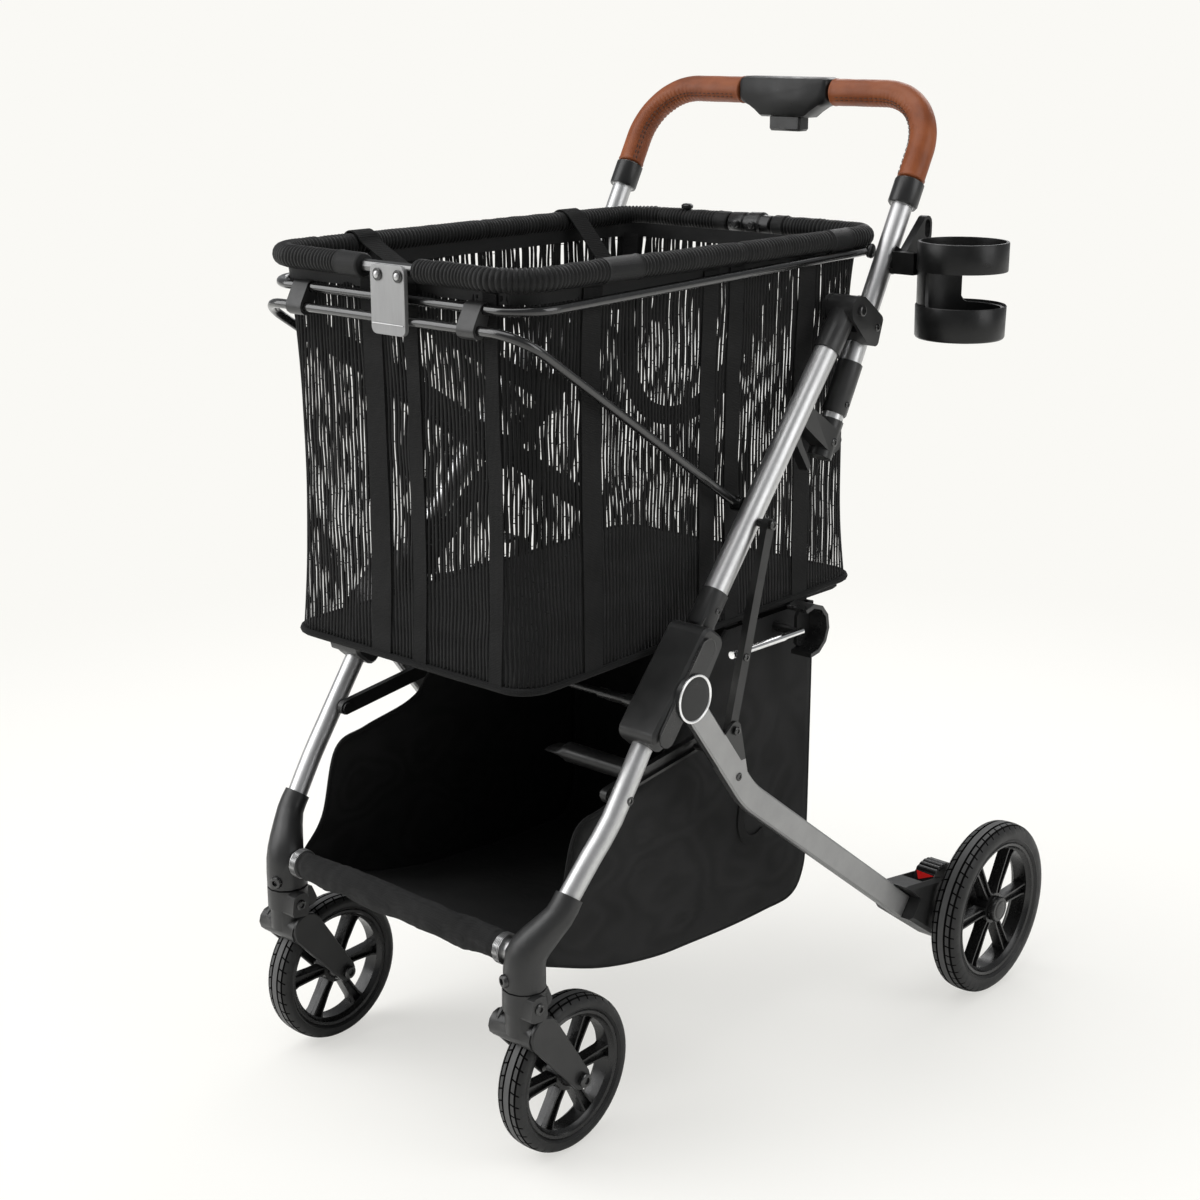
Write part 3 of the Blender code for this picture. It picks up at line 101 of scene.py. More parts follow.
def noise_of(tree, vector, scale, detail=3.0, rough=0.5):
    sockets = {"Vector": vector, "Scale": scale, "Detail": detail, "Roughness": rough}
    return node_of(tree, "TexNoise", sockets).outputs["Fac"]


def math_of(tree, kind, a, b):
    return node_of(tree, "Math", {0: a, 1: b}, operation=kind).outputs[0]


def vector_of(tree, kind, a, b=(0, 0, 0)):
    node = node_of(tree, "VectorMath", {0: a, 1: b}, operation=kind)
    return node.outputs["Value" if kind == "LENGTH" else "Vector"]


def ramp(tree, fac, stops):
    node = node_of(tree, "ValToRGB", {"Fac": fac})
    elements = node.color_ramp.elements
    while len(elements) < len(stops):
        elements.new(0.5)
    for element, (place, colour) in zip(elements, stops):
        element.position = place
        element.color = (*colour, 1.0)
    return node.outputs["Color"]


def grey(value):
    """A plain grey, or the colour that is given."""
    return value if isinstance(value, tuple) else (value, value, value)


def feed(tree, name, value):
    """Links a value to a socket of the main shader."""
    tree.links.new(value, tree.nodes["Principled BSDF"].inputs[name])


def tint(tree, name, fac, low, high, start=0.3, end=0.7):
    """Lets a socket of the main shader drift between two greys or colours."""
    feed(tree, name, ramp(tree, fac, [(start, grey(low)), (end, grey(high))]))


def rise(tree, height, distance):
    feed(tree, "Normal", node_of(tree, "Bump", {"Height": height, "Distance": distance}).outputs[0])


def plastic(name, low, high, rough, grain=0.00004, fine=1400.0, **plain):
    """Moulded plastic: a fine spark grain, slight cloudiness of colour and of gloss."""
    mat, tree = blank(name, rough, **plain)
    at = coords(tree)
    tint(tree, "Base Color", noise_of(tree, at, 22.0, 4.0), low, high)
    rub = noise_of(tree, at, 60.0, 5.0, 0.65)
    tint(tree, "Roughness", rub, max(rough - 0.08, 0.05), min(rough + 0.10, 1.0))
    rise(tree, noise_of(tree, at, fine, 2.0), grain)
    return mat


def brushed(name, low, high, rough, scale=(1, 1, 1), metal=1.0, grain=0.000004):
    """Drawn and anodised metal: fine lines along the tube and a soft cloud in the gloss."""
    mat, tree = blank(name, rough, metal)
    lines = noise_of(tree, coords(tree, scale), 300.0, 3.0, 0.6)
    tint(tree, "Base Color", lines, low, high, 0.25, 0.75)
    rub = noise_of(tree, coords(tree), 18.0, 5.0, 0.6)
    tint(tree, "Roughness", rub, rough - 0.05, rough + 0.06)
    rise(tree, lines, grain)
    return mat


def woven(name, low, high, pitch, rough=0.9, depth=0.00012, gloss=0.16):
    """Plain woven cloth: crossing sets of threads on every face direction."""
    mat, tree = blank(name, rough, gloss=gloss, Sheen_Weight=0.03, Sheen_Roughness=0.5)
    at = coords(tree)
    waves = {"Vector": at, "Scale": math.pi / (pitch * 10.0), "Distortion": 0.6, "Detail": 1.0}
    x, y, z = [node_of(tree, "TexWave", waves, bands_direction=axis).outputs["Fac"] for axis in "XYZ"]
    threads = math_of(tree, "ADD", math_of(tree, "ADD", x, y), z)
    fibre = math_of(tree, "MULTIPLY", noise_of(tree, at, 900.0, 3.0), 0.8)
    cloud = math_of(tree, "MULTIPLY", noise_of(tree, at, 14.0, 4.0), 0.6)
    mixed = math_of(tree, "ADD", math_of(tree, "MULTIPLY", threads, 0.20), cloud)
    tint(tree, "Base Color", mixed, low, high, 0.3, 0.85)
    rise(tree, math_of(tree, "ADD", threads, fibre), depth)
    return mat


def leather():
    mat, tree = blank("tan_leather_grain", 0.42, gloss=0.30)
    at = coords(tree)
    stops = [(0.25, (0.150, 0.038, 0.011)), (0.5, (0.225, 0.060, 0.018)), (0.78, (0.300, 0.092, 0.031))]
    feed(tree, "Base Color", ramp(tree, noise_of(tree, at, 26.0, 5.0, 0.6), stops))
    tint(tree, "Roughness", noise_of(tree, at, 90.0, 4.0), 0.36, 0.52)
    cells = node_of(tree, "TexVoronoi", {"Vector": at, "Scale": 520.0}).outputs["Distance"]
    rise(tree, math_of(tree, "ADD", cells, noise_of(tree, at, 160.0, 4.0, 0.7)), 0.00010)
    return mat


ALU = brushed("satin_aluminium_tube", 0.50, 0.55, 0.40, (0.25, 1, 1))
ALU_FLAT = brushed("satin_aluminium_bar", 0.30, 0.34, 0.44, (1, 0.12, 0.12))
CHROME = brushed("chrome_rod", 0.72, 0.80, 0.12)
STEEL = brushed("satin_steel_bar", 0.40, 0.46, 0.42, (1, 1, 0.1))
HOOK = brushed("matt_hook_steel", 0.26, 0.29, 0.50, (1, 1, 0.1), metal=0.6)
BRIGHT = brushed("bright_trim", 0.80, 0.88, 0.30)
DULL = brushed("dull_rim_tube", 0.14, 0.18, 0.30)
SCREW = brushed("dark_screw", 0.055, 0.09, 0.26, metal=0.9, grain=0.00002)
BLACK = plastic("black_moulding_grain", 0.016, 0.024, 0.38, gloss=0.42)
BLACK_SOFT = plastic("black_satin_moulding", 0.009, 0.014, 0.30, 0.00002, gloss=0.42)
CUP_BLACK = plastic("cup_moulding", 0.005, 0.008, 0.34, 0.00003, gloss=0.32)
LACQUER = plastic("black_lacquer_steel", 0.006, 0.010, 0.20, 0.00001, Coat_Weight=0.6, Coat_Roughness=0.08)
MATT_STEEL = plastic("black_powder_steel", 0.008, 0.013, 0.36, 0.00005, gloss=0.40)
THREAD = plastic("brown_thread", 0.020, 0.035, 0.7, 0.0001)
WHEEL = plastic("wheel_moulding", 0.007, 0.011, 0.27, 0.00003, gloss=0.45)
TYRE = plastic("tyre_rubber", 0.010, 0.018, 0.50, 0.00008, 700.0, gloss=0.36)
# Lighter rubber colour for the tyre's middle band: painted highlight.
TREAD_HIGHLIGHT = plastic("tyre_tread_band", 0.070, 0.100, 0.60, 0.00008, 700.0)
# Lighter rubber colour for the tops of the tyre blocks: painted highlight.
BLOCK_HIGHLIGHT = plastic("tyre_block_tops", 0.036, 0.056, 0.55, 0.00008, 700.0)
# Near-black rubber colour for the tyre's grooves and cuts: painted shade.
GROOVE_SHADE = plastic("tyre_groove", 0.001, 0.003, 0.80, gloss=0.1)
PALE_RING = plastic("pale_grey_ring", 0.10, 0.13, 0.42)
RED = plastic("red_reflector", (0.62, 0.008, 0.008), (0.78, 0.016, 0.014), 0.3)
LEATHER = leather()
CLOTH = woven("black_cordura", 0.009, 0.021, 0.0011)
# Darker copy of the bag cloth: painted shade for the floor inside the lower bag.
CLOTH_SHADED = woven("black_lining", 0.003, 0.008, 0.0011)
RIM_CLOTH = woven("rim_sleeve_cloth", 0.003, 0.007, 0.0009, rough=0.46, depth=0.00008, gloss=0.21)
WEBBING = woven("black_webbing", 0.006, 0.013, 0.0016, depth=0.0002)
NET = woven("black_net_cord", 0.005, 0.011, 0.0012)


# Shapes

def turns(count):
    return [math.tau * k / count for k in range(count)]


def heading(line, i):
    """Direction of a line at its point i."""
    return (line[min(i + 1, len(line) - 1)] - line[max(i - 1, 0)]).normalized()


def oval(centre, u, w, a, b, count):
    """A ring of points round centre, a wide along u and b wide along w."""
    return [centre + u * (a * math.cos(q)) + w * (b * math.sin(q)) for q in turns(count)]


class Shape:
    """Points and faces of a piece, added part by part."""

    def __init__(self):
        self.points = []
        self.faces = []

    def loft(self, rings, ring=False, caps=True):
        """A skin over rings of points, capped at its ends or closed to a ring."""
        n = len(rings[0])
        rows = len(rings)
        base = len(self.points)
        for row in rings:
            self.points += [tuple(p) for p in row]
        for i in range(rows if ring else rows - 1):
            a = base + i * n
            b = base + (i + 1) % rows * n
            for k in range(n):
                m = (k + 1) % n
                self.faces.append((a + k, a + m, b + m, b + k))
        if caps and not ring:
            self.faces.append(tuple(base + k for k in range(n))[::-1])
            self.faces.append(tuple(base + (rows - 1) * n + k for k in range(n)))

    def sheet(self, rows, normals, thick):
        """A closed sheet: the rows and their copy set back by thick along the normals."""
        n = len(rows[0])
        count = len(rows)
        base = len(self.points)
        top = count * n
        for row in rows:
            self.points += [tuple(p) for p in row]
        for row, lean in zip(rows, normals):
            self.points += [tuple(p - q * thick) for p, q in zip(row, lean)]
        for i in range(count - 1):
            for k in range(n - 1):
                a = base + i * n + k
                b = a + top
                self.faces += [(a, a + 1, a + 1 + n, a + n), (b, b + n, b + 1 + n, b + 1)]
        rim = [i * n for i in range(count)] + [(count - 1) * n + k for k in range(1, n)]
        rim += [i * n + n - 1 for i in range(count - 2, -1, -1)] + list(range(n - 2, 0, -1))
        for a, b in zip(rim, rim[1:] + rim[:1]):
            self.faces.append((base + a, base + b, base + b + top, base + a + top))

    def sweep(self, path, side, high, ref, count=16, ring=False):
        """A round or oval section along a path. high is the half size towards ref."""
        n = len(path)
        rings = []
        for i, p in enumerate(path):
            a = path[i - 1] if i or ring else p
            b = path[(i + 1) % n] if i < n - 1 or ring else p
            t = (b - a).normalized()
            s = t.cross(ref).normalized()
            u = s.cross(t).normalized()
            w = side[i] if isinstance(side, list) else side
            h = high[i] if isinstance(high, list) else high
            rings.append(oval(p, s, u, w, h, count))
        self.loft(rings, ring)

    def lathe(self, start, direction, profile, count=24, ring=False):
        """A turned form. The profile gives how far along and the radius there."""
        d = Vector(direction).normalized()
        u = d.cross(ACROSS if abs(d.x) < 0.9 else UP).normalized()
        w = u.cross(d).normalized()
        self.loft([oval(Vector(start) + d * along, u, w, r, r, count) for along, r in profile], ring)

    def strip(self, path, normals, width, thick):
        """A flat band along a path. normals point away from what it lies on."""
        rings = []
        for i, (p, n) in enumerate(zip(path, normals)):
            s = heading(path, i).cross(n).normalized() * (width / 2)
            up = n.normalized() * (thick / 2)
            rings.append([p - s - up, p + s - up, p + s + up, p - s + up])
        self.loft(rings)

    def slab(self, outline, middle, layers, point):
        """Layers of one outline, each grown round its middle. point turns a layer's place and a, b to 3D."""
        m, n = middle
        self.loft([[point(place, m + (a - m) * grow, n + (b - n) * grow) for a, b in outline]
                   for place, grow in layers])

    def piece(self, name, mat, body, slot, angle=40.0, crease=True):
        """The finished mesh, on its body and in its material. slot is not used."""
        mesh = bpy.data.meshes.new(name)
        mesh.from_pydata(self.points, [], self.faces)
        bm = bmesh.new()
        bm.from_mesh(mesh)
        bmesh.ops.recalc_face_normals(bm, faces=bm.faces)
        bm.to_mesh(mesh)
        bm.free()
        mesh.materials.append(mat)
        mesh.shade_smooth()
        if crease:
            mesh.set_sharp_from_angle(angle=math.radians(angle))
        ob = bpy.data.objects.new(name, mesh)
        bpy.context.scene.collection.objects.link(ob)
        if body:
            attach(ob, body)
        return ob


def rect_length(half, front, back, r):
    return 4 * (half - r) + 2 * (back - front - 2 * r) + 2 * math.pi * r


def rect_point(s, half, front, back, r):
    """Point and outward direction at s along a rounded rectangle, from the front's middle towards +X."""
    a = half - r
    b = back - front - 2 * r
    q = math.pi * r / 2
    s %= rect_length(half, front, back, r)
    for kind, size, data in (
        ("line", a, ((0, front), (1, 0))),
        ("arc", q, ((a, front + r), -90)),
        ("line", b, ((half, front + r), (0, 1))),
        ("arc", q, ((a, back - r), 0)),
        ("line", 2 * a, ((a, back), (-1, 0))),
        ("arc", q, ((-a, back - r), 90)),
        ("line", b, ((-half, back - r), (0, -1))),
        ("arc", q, ((-a, front + r), 180)),
        ("line", a + 1e-6, ((-a, front), (1, 0))),
    ):
        if s <= size:
            break
        s -= size
    if kind == "line":
        (x, y), (dx, dy) = data
        return x + dx * s, y + dy * s, dy, -dx
    (x, y), start = data
    w = math.radians(start + 90 * s / size)
    return x + r * math.cos(w), y + r * math.sin(w), math.cos(w), math.sin(w)


def curve(points, steps=6):
    """A smooth line through the points."""
    pts = [Vector(p) for p in points]
    ends = [2 * pts[0] - pts[1]] + pts + [2 * pts[-1] - pts[-2]]
    out = []
    for a, b, c, d in zip(ends, ends[1:], ends[2:], ends[3:]):
        for k in range(steps):
            t = k / steps
            pull = (c - a) * t + (2 * a - 5 * b + 4 * c - d) * t * t + (3 * b - a - 3 * c + d) * t**3
            out.append(b + 0.5 * pull)
    return out + [pts[-1]]


def rounded(points, radius, steps=12):
    """A line through the points with every inner corner turned into an arc."""
    pts = [Vector(p) for p in points]
    out = [pts[0]]
    for a, b, c in zip(pts, pts[1:], pts[2:]):
        u = (a - b).normalized()
        w = (c - b).normalized()
        half = u.angle(w) / 2
        centre = b + (u + w).normalized() * (radius / math.sin(half))
        first = (b + u * (radius / math.tan(half)) - centre).normalized()
        last = (b + w * (radius / math.tan(half)) - centre).normalized()
        out += [centre + first.slerp(last, k / steps) * radius for k in range(steps + 1)]
    return out + [pts[-1]]


def on_circle(centre, r, degrees):
    w = math.radians(degrees)
    return centre[0] + r * math.cos(w), centre[1] + r * math.sin(w)


def long_of(line):
    return sum((b - a).length for a, b in zip(line, line[1:]))


def even(path, step):
    """The same line with points at an even spacing, and how far along each one is."""
    long = long_of(path)
    count = max(2, int(long / step))
    marks = [long * k / count for k in range(count + 1)]
    out = [path[0].copy()]
    i = 0
    gone = 0.0
    for want in marks[1:-1]:
        while gone + (path[i + 1] - path[i]).length < want:
            gone += (path[i + 1] - path[i]).length
            i += 1
        out.append(path[i].lerp(path[i + 1], (want - gone) / (path[i + 1] - path[i]).length))
    return out + [path[-1].copy()], marks


def wobble(*at):
    return noise.noise(Vector(at))


# Finishes of the pieces that come from the frame

def part_black(mat, name, start, end, radius, foot=None, head=None):
    """A copy of a metal that turns black outside a radius round an axis, or below the foot's height.
    With head, only what is higher than that can be black."""
    mat = mat.copy()
    mat.name = name
    tree = mat.node_tree
    place = place_of(tree)
    height = node_of(tree, "SeparateXYZ", {0: place}).outputs["Z"]
    both = vector_of(tree, "MAXIMUM", place, vector_of(tree, "MULTIPLY", place, (-1, 1, 1)))
    off = vector_of(tree, "SUBTRACT", both, tuple(start))
    line = tuple((Vector(end) - Vector(start)).normalized())
    away = vector_of(tree, "LENGTH", vector_of(tree, "CROSS_PRODUCT", off, line))
    mask = math_of(tree, "GREATER_THAN", away, radius)
    if foot is not None:
        mask = math_of(tree, "MAXIMUM", mask, math_of(tree, "LESS_THAN", height, foot))
    if head is not None:
        mask = math_of(tree, "MINIMUM", mask, math_of(tree, "GREATER_THAN", height, head))
    for key, dark in (("Base Color", 0.011), ("Roughness", 0.34), ("Metallic", 0.0)):
        old = tree.nodes["Principled BSDF"].inputs[key]
        metal = old.links[0].from_socket if old.links else (*grey(old.default_value), 1)
        sockets = {0: mask, 6: metal, 7: (*grey(dark), 1)}
        feed(tree, key, node_of(tree, "Mix", sockets, data_type="RGBA").outputs[2])
    return mat


HANDLE_RUN = Vector((0, 0.4770, 0.8790)).normalized()
HANDLE_SQUARE = Vector((0, HANDLE_RUN.z, -HANDLE_RUN.y))


def on_handle(x, z, out=0.0):
    """A point on the handle's line, or that far behind it."""
    return cart(x, 0.5120 + (z - 0.9050) * 0.4770 / 0.8790, z) + HANDLE_SQUARE * out


HANDLE_METAL = part_black(ALU, "handle_tube_metal",
                          on_handle(HANDLE_X, 0.7), on_handle(HANDLE_X, 0.9), 0.0122, foot=0.690)
UPPER_METAL = part_black(ALU, "upper_tube_metal", cart(0.2105, *HINGE), cart(HANDLE_X, *PIVOT), 0.0133)
LEG_METAL = part_black(ALU_FLAT, "rear_leg_metal",
                       cart(0.2316, *HINGE), cart(0.2316, 0.2187, 0.3286), 0.0142, head=0.372)
ROD_METAL = part_black(CHROME, "side_rod_metal",
                       cart(0.2185, 0.2065, 0.4790), cart(0.2185, 0.3290, 0.4778), 0.0046)
FINISH = {
    "upper_tube": UPPER_METAL, "front_leg": ALU, "handle_tube": HANDLE_METAL, "rear_leg": LEG_METAL,
    "side_rod": ROD_METAL, "rim_tube": DULL, "hook_plate": STEEL, "crossbar": STEEL, "hoop_upper": LACQUER,
    "hoop_lower": LACQUER, "link_bar": MATT_STEEL, "stay": MATT_STEEL, "basket_cross_tube": BLACK_SOFT,
    "bag_yoke": BLACK_SOFT, "hinge_cover": BLACK_SOFT, "cup_holder": CUP_BLACK, "handle_cover": CUP_BLACK,
    "grip": LEATHER, "basket_board": CLOTH,
}
for key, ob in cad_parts.items():
    base = key.replace("_near", "").replace("_far", "")
    ob.data.materials.clear()
    ob.data.materials.append(FINISH.get(base, BLACK))
    ob.data.shade_smooth()
    ob.modifiers.new("weld", "WELD").merge_threshold = 0.00002
    split = ob.modifiers.new("edges", "EDGE_SPLIT")
    split.split_angle = math.radians(42)
    split.use_edge_sharp = False


# Basket

HALF, FRONT, BACK, CORNER = BASKET = (0.1700, -0.0400, 0.4890, 0.0300)
FOOT, TOP = 0.4820, 0.8616
ROUND = rect_length(*BASKET)


def foot_at(y):
    """Height of the basket's lower edge, which climbs a little to the back."""
    return FOOT + 0.0030 + 0.0120 * (y - FRONT) / (BACK - FRONT)


def wall(s, z, out=0.0):
    """Point on the hanging net wall: it draws in a little at half height, most at the corners."""
    x, y, nx, ny = rect_point(s, *BASKET)
    t = (z - FOOT) / (TOP - FOOT)
    corner = abs(nx * ny) * 2
    sag = math.sin(math.pi * min(max(t, 0.0), 1.0)) * (0.0035 + 0.0075 * corner)
    push = out - sag - 0.0016 * wobble(x * 9, y * 9, z * 11)
    return cart(x + nx * push, y + ny * push, z), Vector((nx, ny, 0))


def net():
    """The slit net: upright cords that wander together, tied here and there, finer on the far and back walls."""
    cords, rows = 344, 30
    pitch = ROUND / cords
    high = TOP - 0.0040
    darker = 0.745  # above this height the far cords are wider, as seen over the rim
    shape = Shape()

    def cord_s(i, z):
        s = i * pitch
        x, y, nx, ny = rect_point(s, *BASKET)
        if nx - ny < 0:
            s += 0.0040 * wobble(i * 5.77, 11.0, 3.0) + 0.0030 * wobble(i * 1.31, z * 30, 8.0)
        shared = 0.0032 * wobble(x * 16, y * 16, z * 13) + 0.0016 * wobble(x * 45, y * 45, z * 28 + 4.0)
        own = 0.0006 * wobble(i * 7.31, z * 22, 3.0)
        return s + shared + own

    for i in range(cords):
        _, y, nx, ny = rect_point(i * pitch, *BASKET)
        low = foot_at(y) + 0.0040
        fine = min(1.0, max(0.0, 0.5 - 1.6 * (0.73 * nx - 0.68 * ny)))
        wide = 0.00178 * (1 - fine) + 0.00108 * fine
        rings = []
        for k in range(rows):
            z = low + (high - low) * k / (rows - 1)
            s = cord_s(i, z)
            half = wide * (1 + 0.32 * wobble(i * 3.7, z * 30, 9.0))
            half += 0.0010 * fine * min(1.0, max(0.0, (z - darker) / 0.02))
            a, n = wall(s - half, z)
            b, _ = wall(s + half, z)
            thick = n * 0.0002
            rings.append([a - thick, b - thick, b + thick, a + thick])
        shape.loft(rings)
        # short ties to the next cord
        z = low + 0.004 + 0.024 * abs(wobble(i * 1.93, 5.0, 2.0))
        while z < high - 0.004:
            a, n = wall(cord_s(i, z), z)
            b, _ = wall(cord_s(i + 1, z), z)
            h = Vector((0, 0, 0.0005 - 0.0002 * fine))
            thick = n * 0.00015
            shape.loft([[p - thick - h, p + thick - h, p + thick + h, p - thick + h] for p in (a, b)])
            z += 0.022 + 0.050 * abs(wobble(i * 2.7, z * 50, 7.0)) + 0.016 * fine
    ob = shape.piece("basket_net", NET, "frame", "black_mesh", crease=False)
    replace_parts(ob, "basket_bag")


def on_near(y):
    return (HALF - CORNER) + math.pi * CORNER / 2 + (y - FRONT - CORNER)


def on_far(y):
    return ROUND - on_near(y)


def tapes():
    """Webbing sewn on the net: upright tapes outside, and slanting ones inside the far wall."""
    shape = Shape()
    low, high = FOOT + 0.006, TOP - 0.002
    bands = [([(s, low), (s + 0.0015, low + 0.13), (s - 0.001, low + 0.26), (s, high)], wide, 0.0016)
             for s, wide in ((ROUND - 0.030, 0.027), (0.0255, 0.018), (0.130, 0.017), (on_near(0.0510), 0.026),
                             (on_near(0.2235), 0.023), (on_near(0.2640), 0.022), (on_near(0.3820), 0.027),
                             (on_far(0.100), 0.012))]
    for wide, out, line in (
        (0.026, -0.0030, ((-0.008, 0.796), (0.1156, 0.726), (0.2393, 0.648), (0.42, 0.534))),
        (0.020, -0.0030, ((0.1500, 0.788), (0.1838, 0.769), (0.2883, 0.7115), (0.3400, 0.682))),
        (0.026, -0.0046, ((0.1400, 0.515), (0.2500, 0.610), (0.3399, 0.670), (0.4000, 0.730))),
    ):
        bands.append(([(on_far(y), z) for y, z in line], wide, out))
    for points, wide, out in bands:
        found = [wall(p.x, p.y, out) for p in curve([(s, z, 0) for s, z in points], 8)]
        shape.strip([f[0] for f in found], [f[1] for f in found], wide, 0.0012)
    ob = shape.piece("basket_webbing", WEBBING, "frame", "black_cloth")


def hanging_strap():
    """The slack webbing loop on the inner side of the back wall."""
    shape = Shape()
    pts = [(-0.150, 0.855), (-0.153, 0.780), (-0.146, 0.700), (-0.120, 0.655), (-0.068, 0.652), (-0.015, 0.686),
           (0.015, 0.735), (0.040, 0.800), (0.052, 0.852)]
    line = curve([cart(x, BACK - 0.016 - 0.010 * math.sin(math.pi * k / 8), z) for k, (x, z) in enumerate(pts)])
    shape.strip(line, [Vector((0, -1, 0.15))] * len(line), 0.022, 0.0014)
    ob = shape.piece("basket_loop_strap", WEBBING, "frame", "black_cloth")


def rim_band():
    """Cloth band under the rim that carries the net."""
    shape = Shape()
    count = 220
    levels = (0.8660, 0.8610, 0.8560, 0.8500)
    rows = []
    for k in range(count + 1):
        s = ROUND * k / count
        rows.append([wall(s, z, 0.0004 + 0.0006 * wobble(s * 40, z * 90, 1.0)) for z in levels])
    shape.sheet([[p for p, _ in row] for row in rows], [[n for _, n in row] for row in rows], 0.0016)
    ob = shape.piece("basket_band", RIM_CLOTH, "frame", "black_cloth")


def base_piping():
    """Cord round the foot of the basket, and the cloth floor under the board."""
    count = 200
    edge = [rect_point(ROUND * k / count, *BASKET) for k in range(count)]
    shape, floor = Shape(), Shape()
    path = [cart(x + nx * 0.0006, y + ny * 0.0006, foot_at(y) + 0.0010 + 0.0005 * wobble(x * 20, y * 20, 0))
            for x, y, nx, ny in edge]
    shape.sweep(path, 0.0036, 0.0036, UP, 10, ring=True)
    piping = shape.piece("basket_piping", WEBBING, "frame", "black_cloth")
    floor.loft([[cart(x - nx * inset, y - ny * inset, foot_at(y) + z) for x, y, nx, ny in edge]
                for inset, z in ((0.0022, 0.0030), (0.0022, -0.0014), (0.014, -0.0024))])
    sheet = floor.piece("basket_floor_cloth", CLOTH, "frame", "black_cloth")


RIM_HALF, RIM_FRONT, RIM_BACK, RIM_CORNER = RIM = (0.1745, -0.0500, 0.5080, 0.0460)
RIM_Z = 0.8730
RIM_ROUND = rect_length(*RIM)


def rim_near(y):
    return (RIM_HALF - RIM_CORNER) + math.pi * RIM_CORNER / 2 + (y - RIM_FRONT - RIM_CORNER)


def rim_back(x):
    flat = RIM_HALF - RIM_CORNER
    return flat + math.pi * RIM_CORNER + (RIM_BACK - RIM_FRONT - 2 * RIM_CORNER) + (flat - x)


def rim_far(y):
    return RIM_ROUND - rim_near(y)


def rim_sleeve():
    """Ruched cloth sleeve round the rim tube, with smooth cuffs."""
    cuffs = [(rim_near(0.058), rim_near(0.108)), (rim_near(0.410), rim_near(0.445)),
             (RIM_ROUND - 0.0598, RIM_ROUND - 0.0267), (rim_back(0.050), rim_back(0.0330)),
             (rim_back(-0.0290), rim_back(-0.046))]
    seams = [rim_near(0.262), rim_far(0.25), rim_far(0.02), rim_back(-0.135)]
    stretches = [(0.0465, rim_back(0.0330)), (rim_back(-0.0290), RIM_ROUND - 0.0267)]
    shape = Shape()
    pitch = 0.0047
    for start, end in stretches:
        count = int((end - start) / pitch * 8)
        path = []
        radii = []
        for k in range(count + 1):
            s = start + (end - start) * k / count
            x, y, nx, ny = rect_point(s, *RIM)
            drift = 0.0008 * wobble(s * 12, 1.0, 4.0)
            path.append(cart(x + nx * drift, y + ny * drift, RIM_Z + 0.0008 * wobble(s * 9, 6.0, 2.0)))
            phase = s / pitch + 0.7 * wobble(s * 30, 0.0, 0.0)
            fold = abs(math.sin(math.pi * phase)) ** 0.55
            r = 0.0094 + (0.0021 + 0.0008 * wobble(s * 55, 2.0, 8.0)) * fold
            for seam in seams:
                r -= 0.0010 * max(0.0, 1 - abs(s - seam) / 0.006)
            for c0, c1 in cuffs:
                if c0 <= s <= c1:
                    r = 0.0118 + 0.0007 * math.exp(-min(s - c0, c1 - s) / 0.0016)
            edge = min(s - start, end - s) / 0.003
            if edge < 1:
                r *= 0.80 + 0.20 * math.sqrt(max(edge, 0.0))
            radii.append(r)
        shape.sweep(path, radii, radii, UP, 18)
    ob = shape.piece("rim_sleeve", RIM_CLOTH, "frame", "black_cloth", crease=False)
    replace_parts(ob, "basket_rim")


def rim_fittings():
    """Joint block with its bolts, and the knob, in the back of the rim."""
    shape = Shape()
    y, z = RIM_BACK, RIM_Z
    shape.lathe(cart(-0.0270, y, z), ACROSS, [
        (0, 0.0080), (0, 0.0105), (0.0015, 0.0118), (0.0200, 0.0126), (0.0215, 0.0106), (0.0255, 0.0106),
        (0.0270, 0.0132), (0.0430, 0.0138), (0.0445, 0.0112), (0.0560, 0.0106), (0.0580, 0.0080)], 20)
    for x in (-0.0125, 0.0115):
        shape.lathe(cart(x, y - 0.0185, z), (0, 1, 0), [(0, 0.0030), (0.0010, 0.0042), (0.0060, 0.0042)], 14)
    shape.lathe(cart(-0.0950, y, z + 0.0060), UP, [
        (0, 0.0045), (0.0045, 0.0045), (0.0060, 0.0068), (0.0090, 0.0070), (0.0108, 0.0050), (0.0114, 0.0010)], 18)
    shape.piece("rim_joint", BLACK_SOFT, "frame", "black_moulding")


def rim_straps():
    """Two webbing straps laid over the far rim, their ends hanging into the basket."""
    shape = Shape()
    for y, drop, reach in ((0.0750, 0.030, 0.060), (0.3900, 0.055, 0.045)):
        pts = [(-0.1868, y, 0.8600), (-0.1874, y, 0.8730), (-0.1838, y, 0.8826), (-0.1745, y, 0.8865),
               (-0.1650, y, 0.8828), (-0.1570, y + 0.002, 0.8740),
               (-0.1570 + reach * 0.5, y + 0.006, 0.8700 - drop * 0.45),
               (-0.1570 + reach, y + 0.010, 0.8700 - drop),
               (-0.1570 + reach * 1.15, y + 0.012, 0.8600 - drop * 1.5)]
        line = curve([cart(*p) for p in pts], 5)
        normals = [heading(line, i).cross(Vector((0, -1, 0))) for i in range(len(line))]
        shape.strip(line, normals, 0.0260, 0.0014)
    ob = shape.piece("rim_straps", WEBBING, "frame", "black_cloth")


# Lower bag

BAG_HALF = 0.1755
FLOOR_LINE = [(0.3985, 0.4870), (0.3990, 0.3300), (0.3985, 0.2150), (0.3935, 0.1720), (0.3730, 0.1490),
              (0.3250, 0.1475), (0.2650, 0.1490), (0.2000, 0.1535), (0.1360, 0.1595), (0.0550, 0.1775),
              (-0.0330, 0.2115)]
MOUTH_LINE = [(0.2500, 0.4870), (0.1600, 0.3860), (0.1300, 0.3600), (0.0620, 0.3460), (0.0190, 0.3320),
              (-0.0030, 0.2610), (-0.0330, 0.2260)]


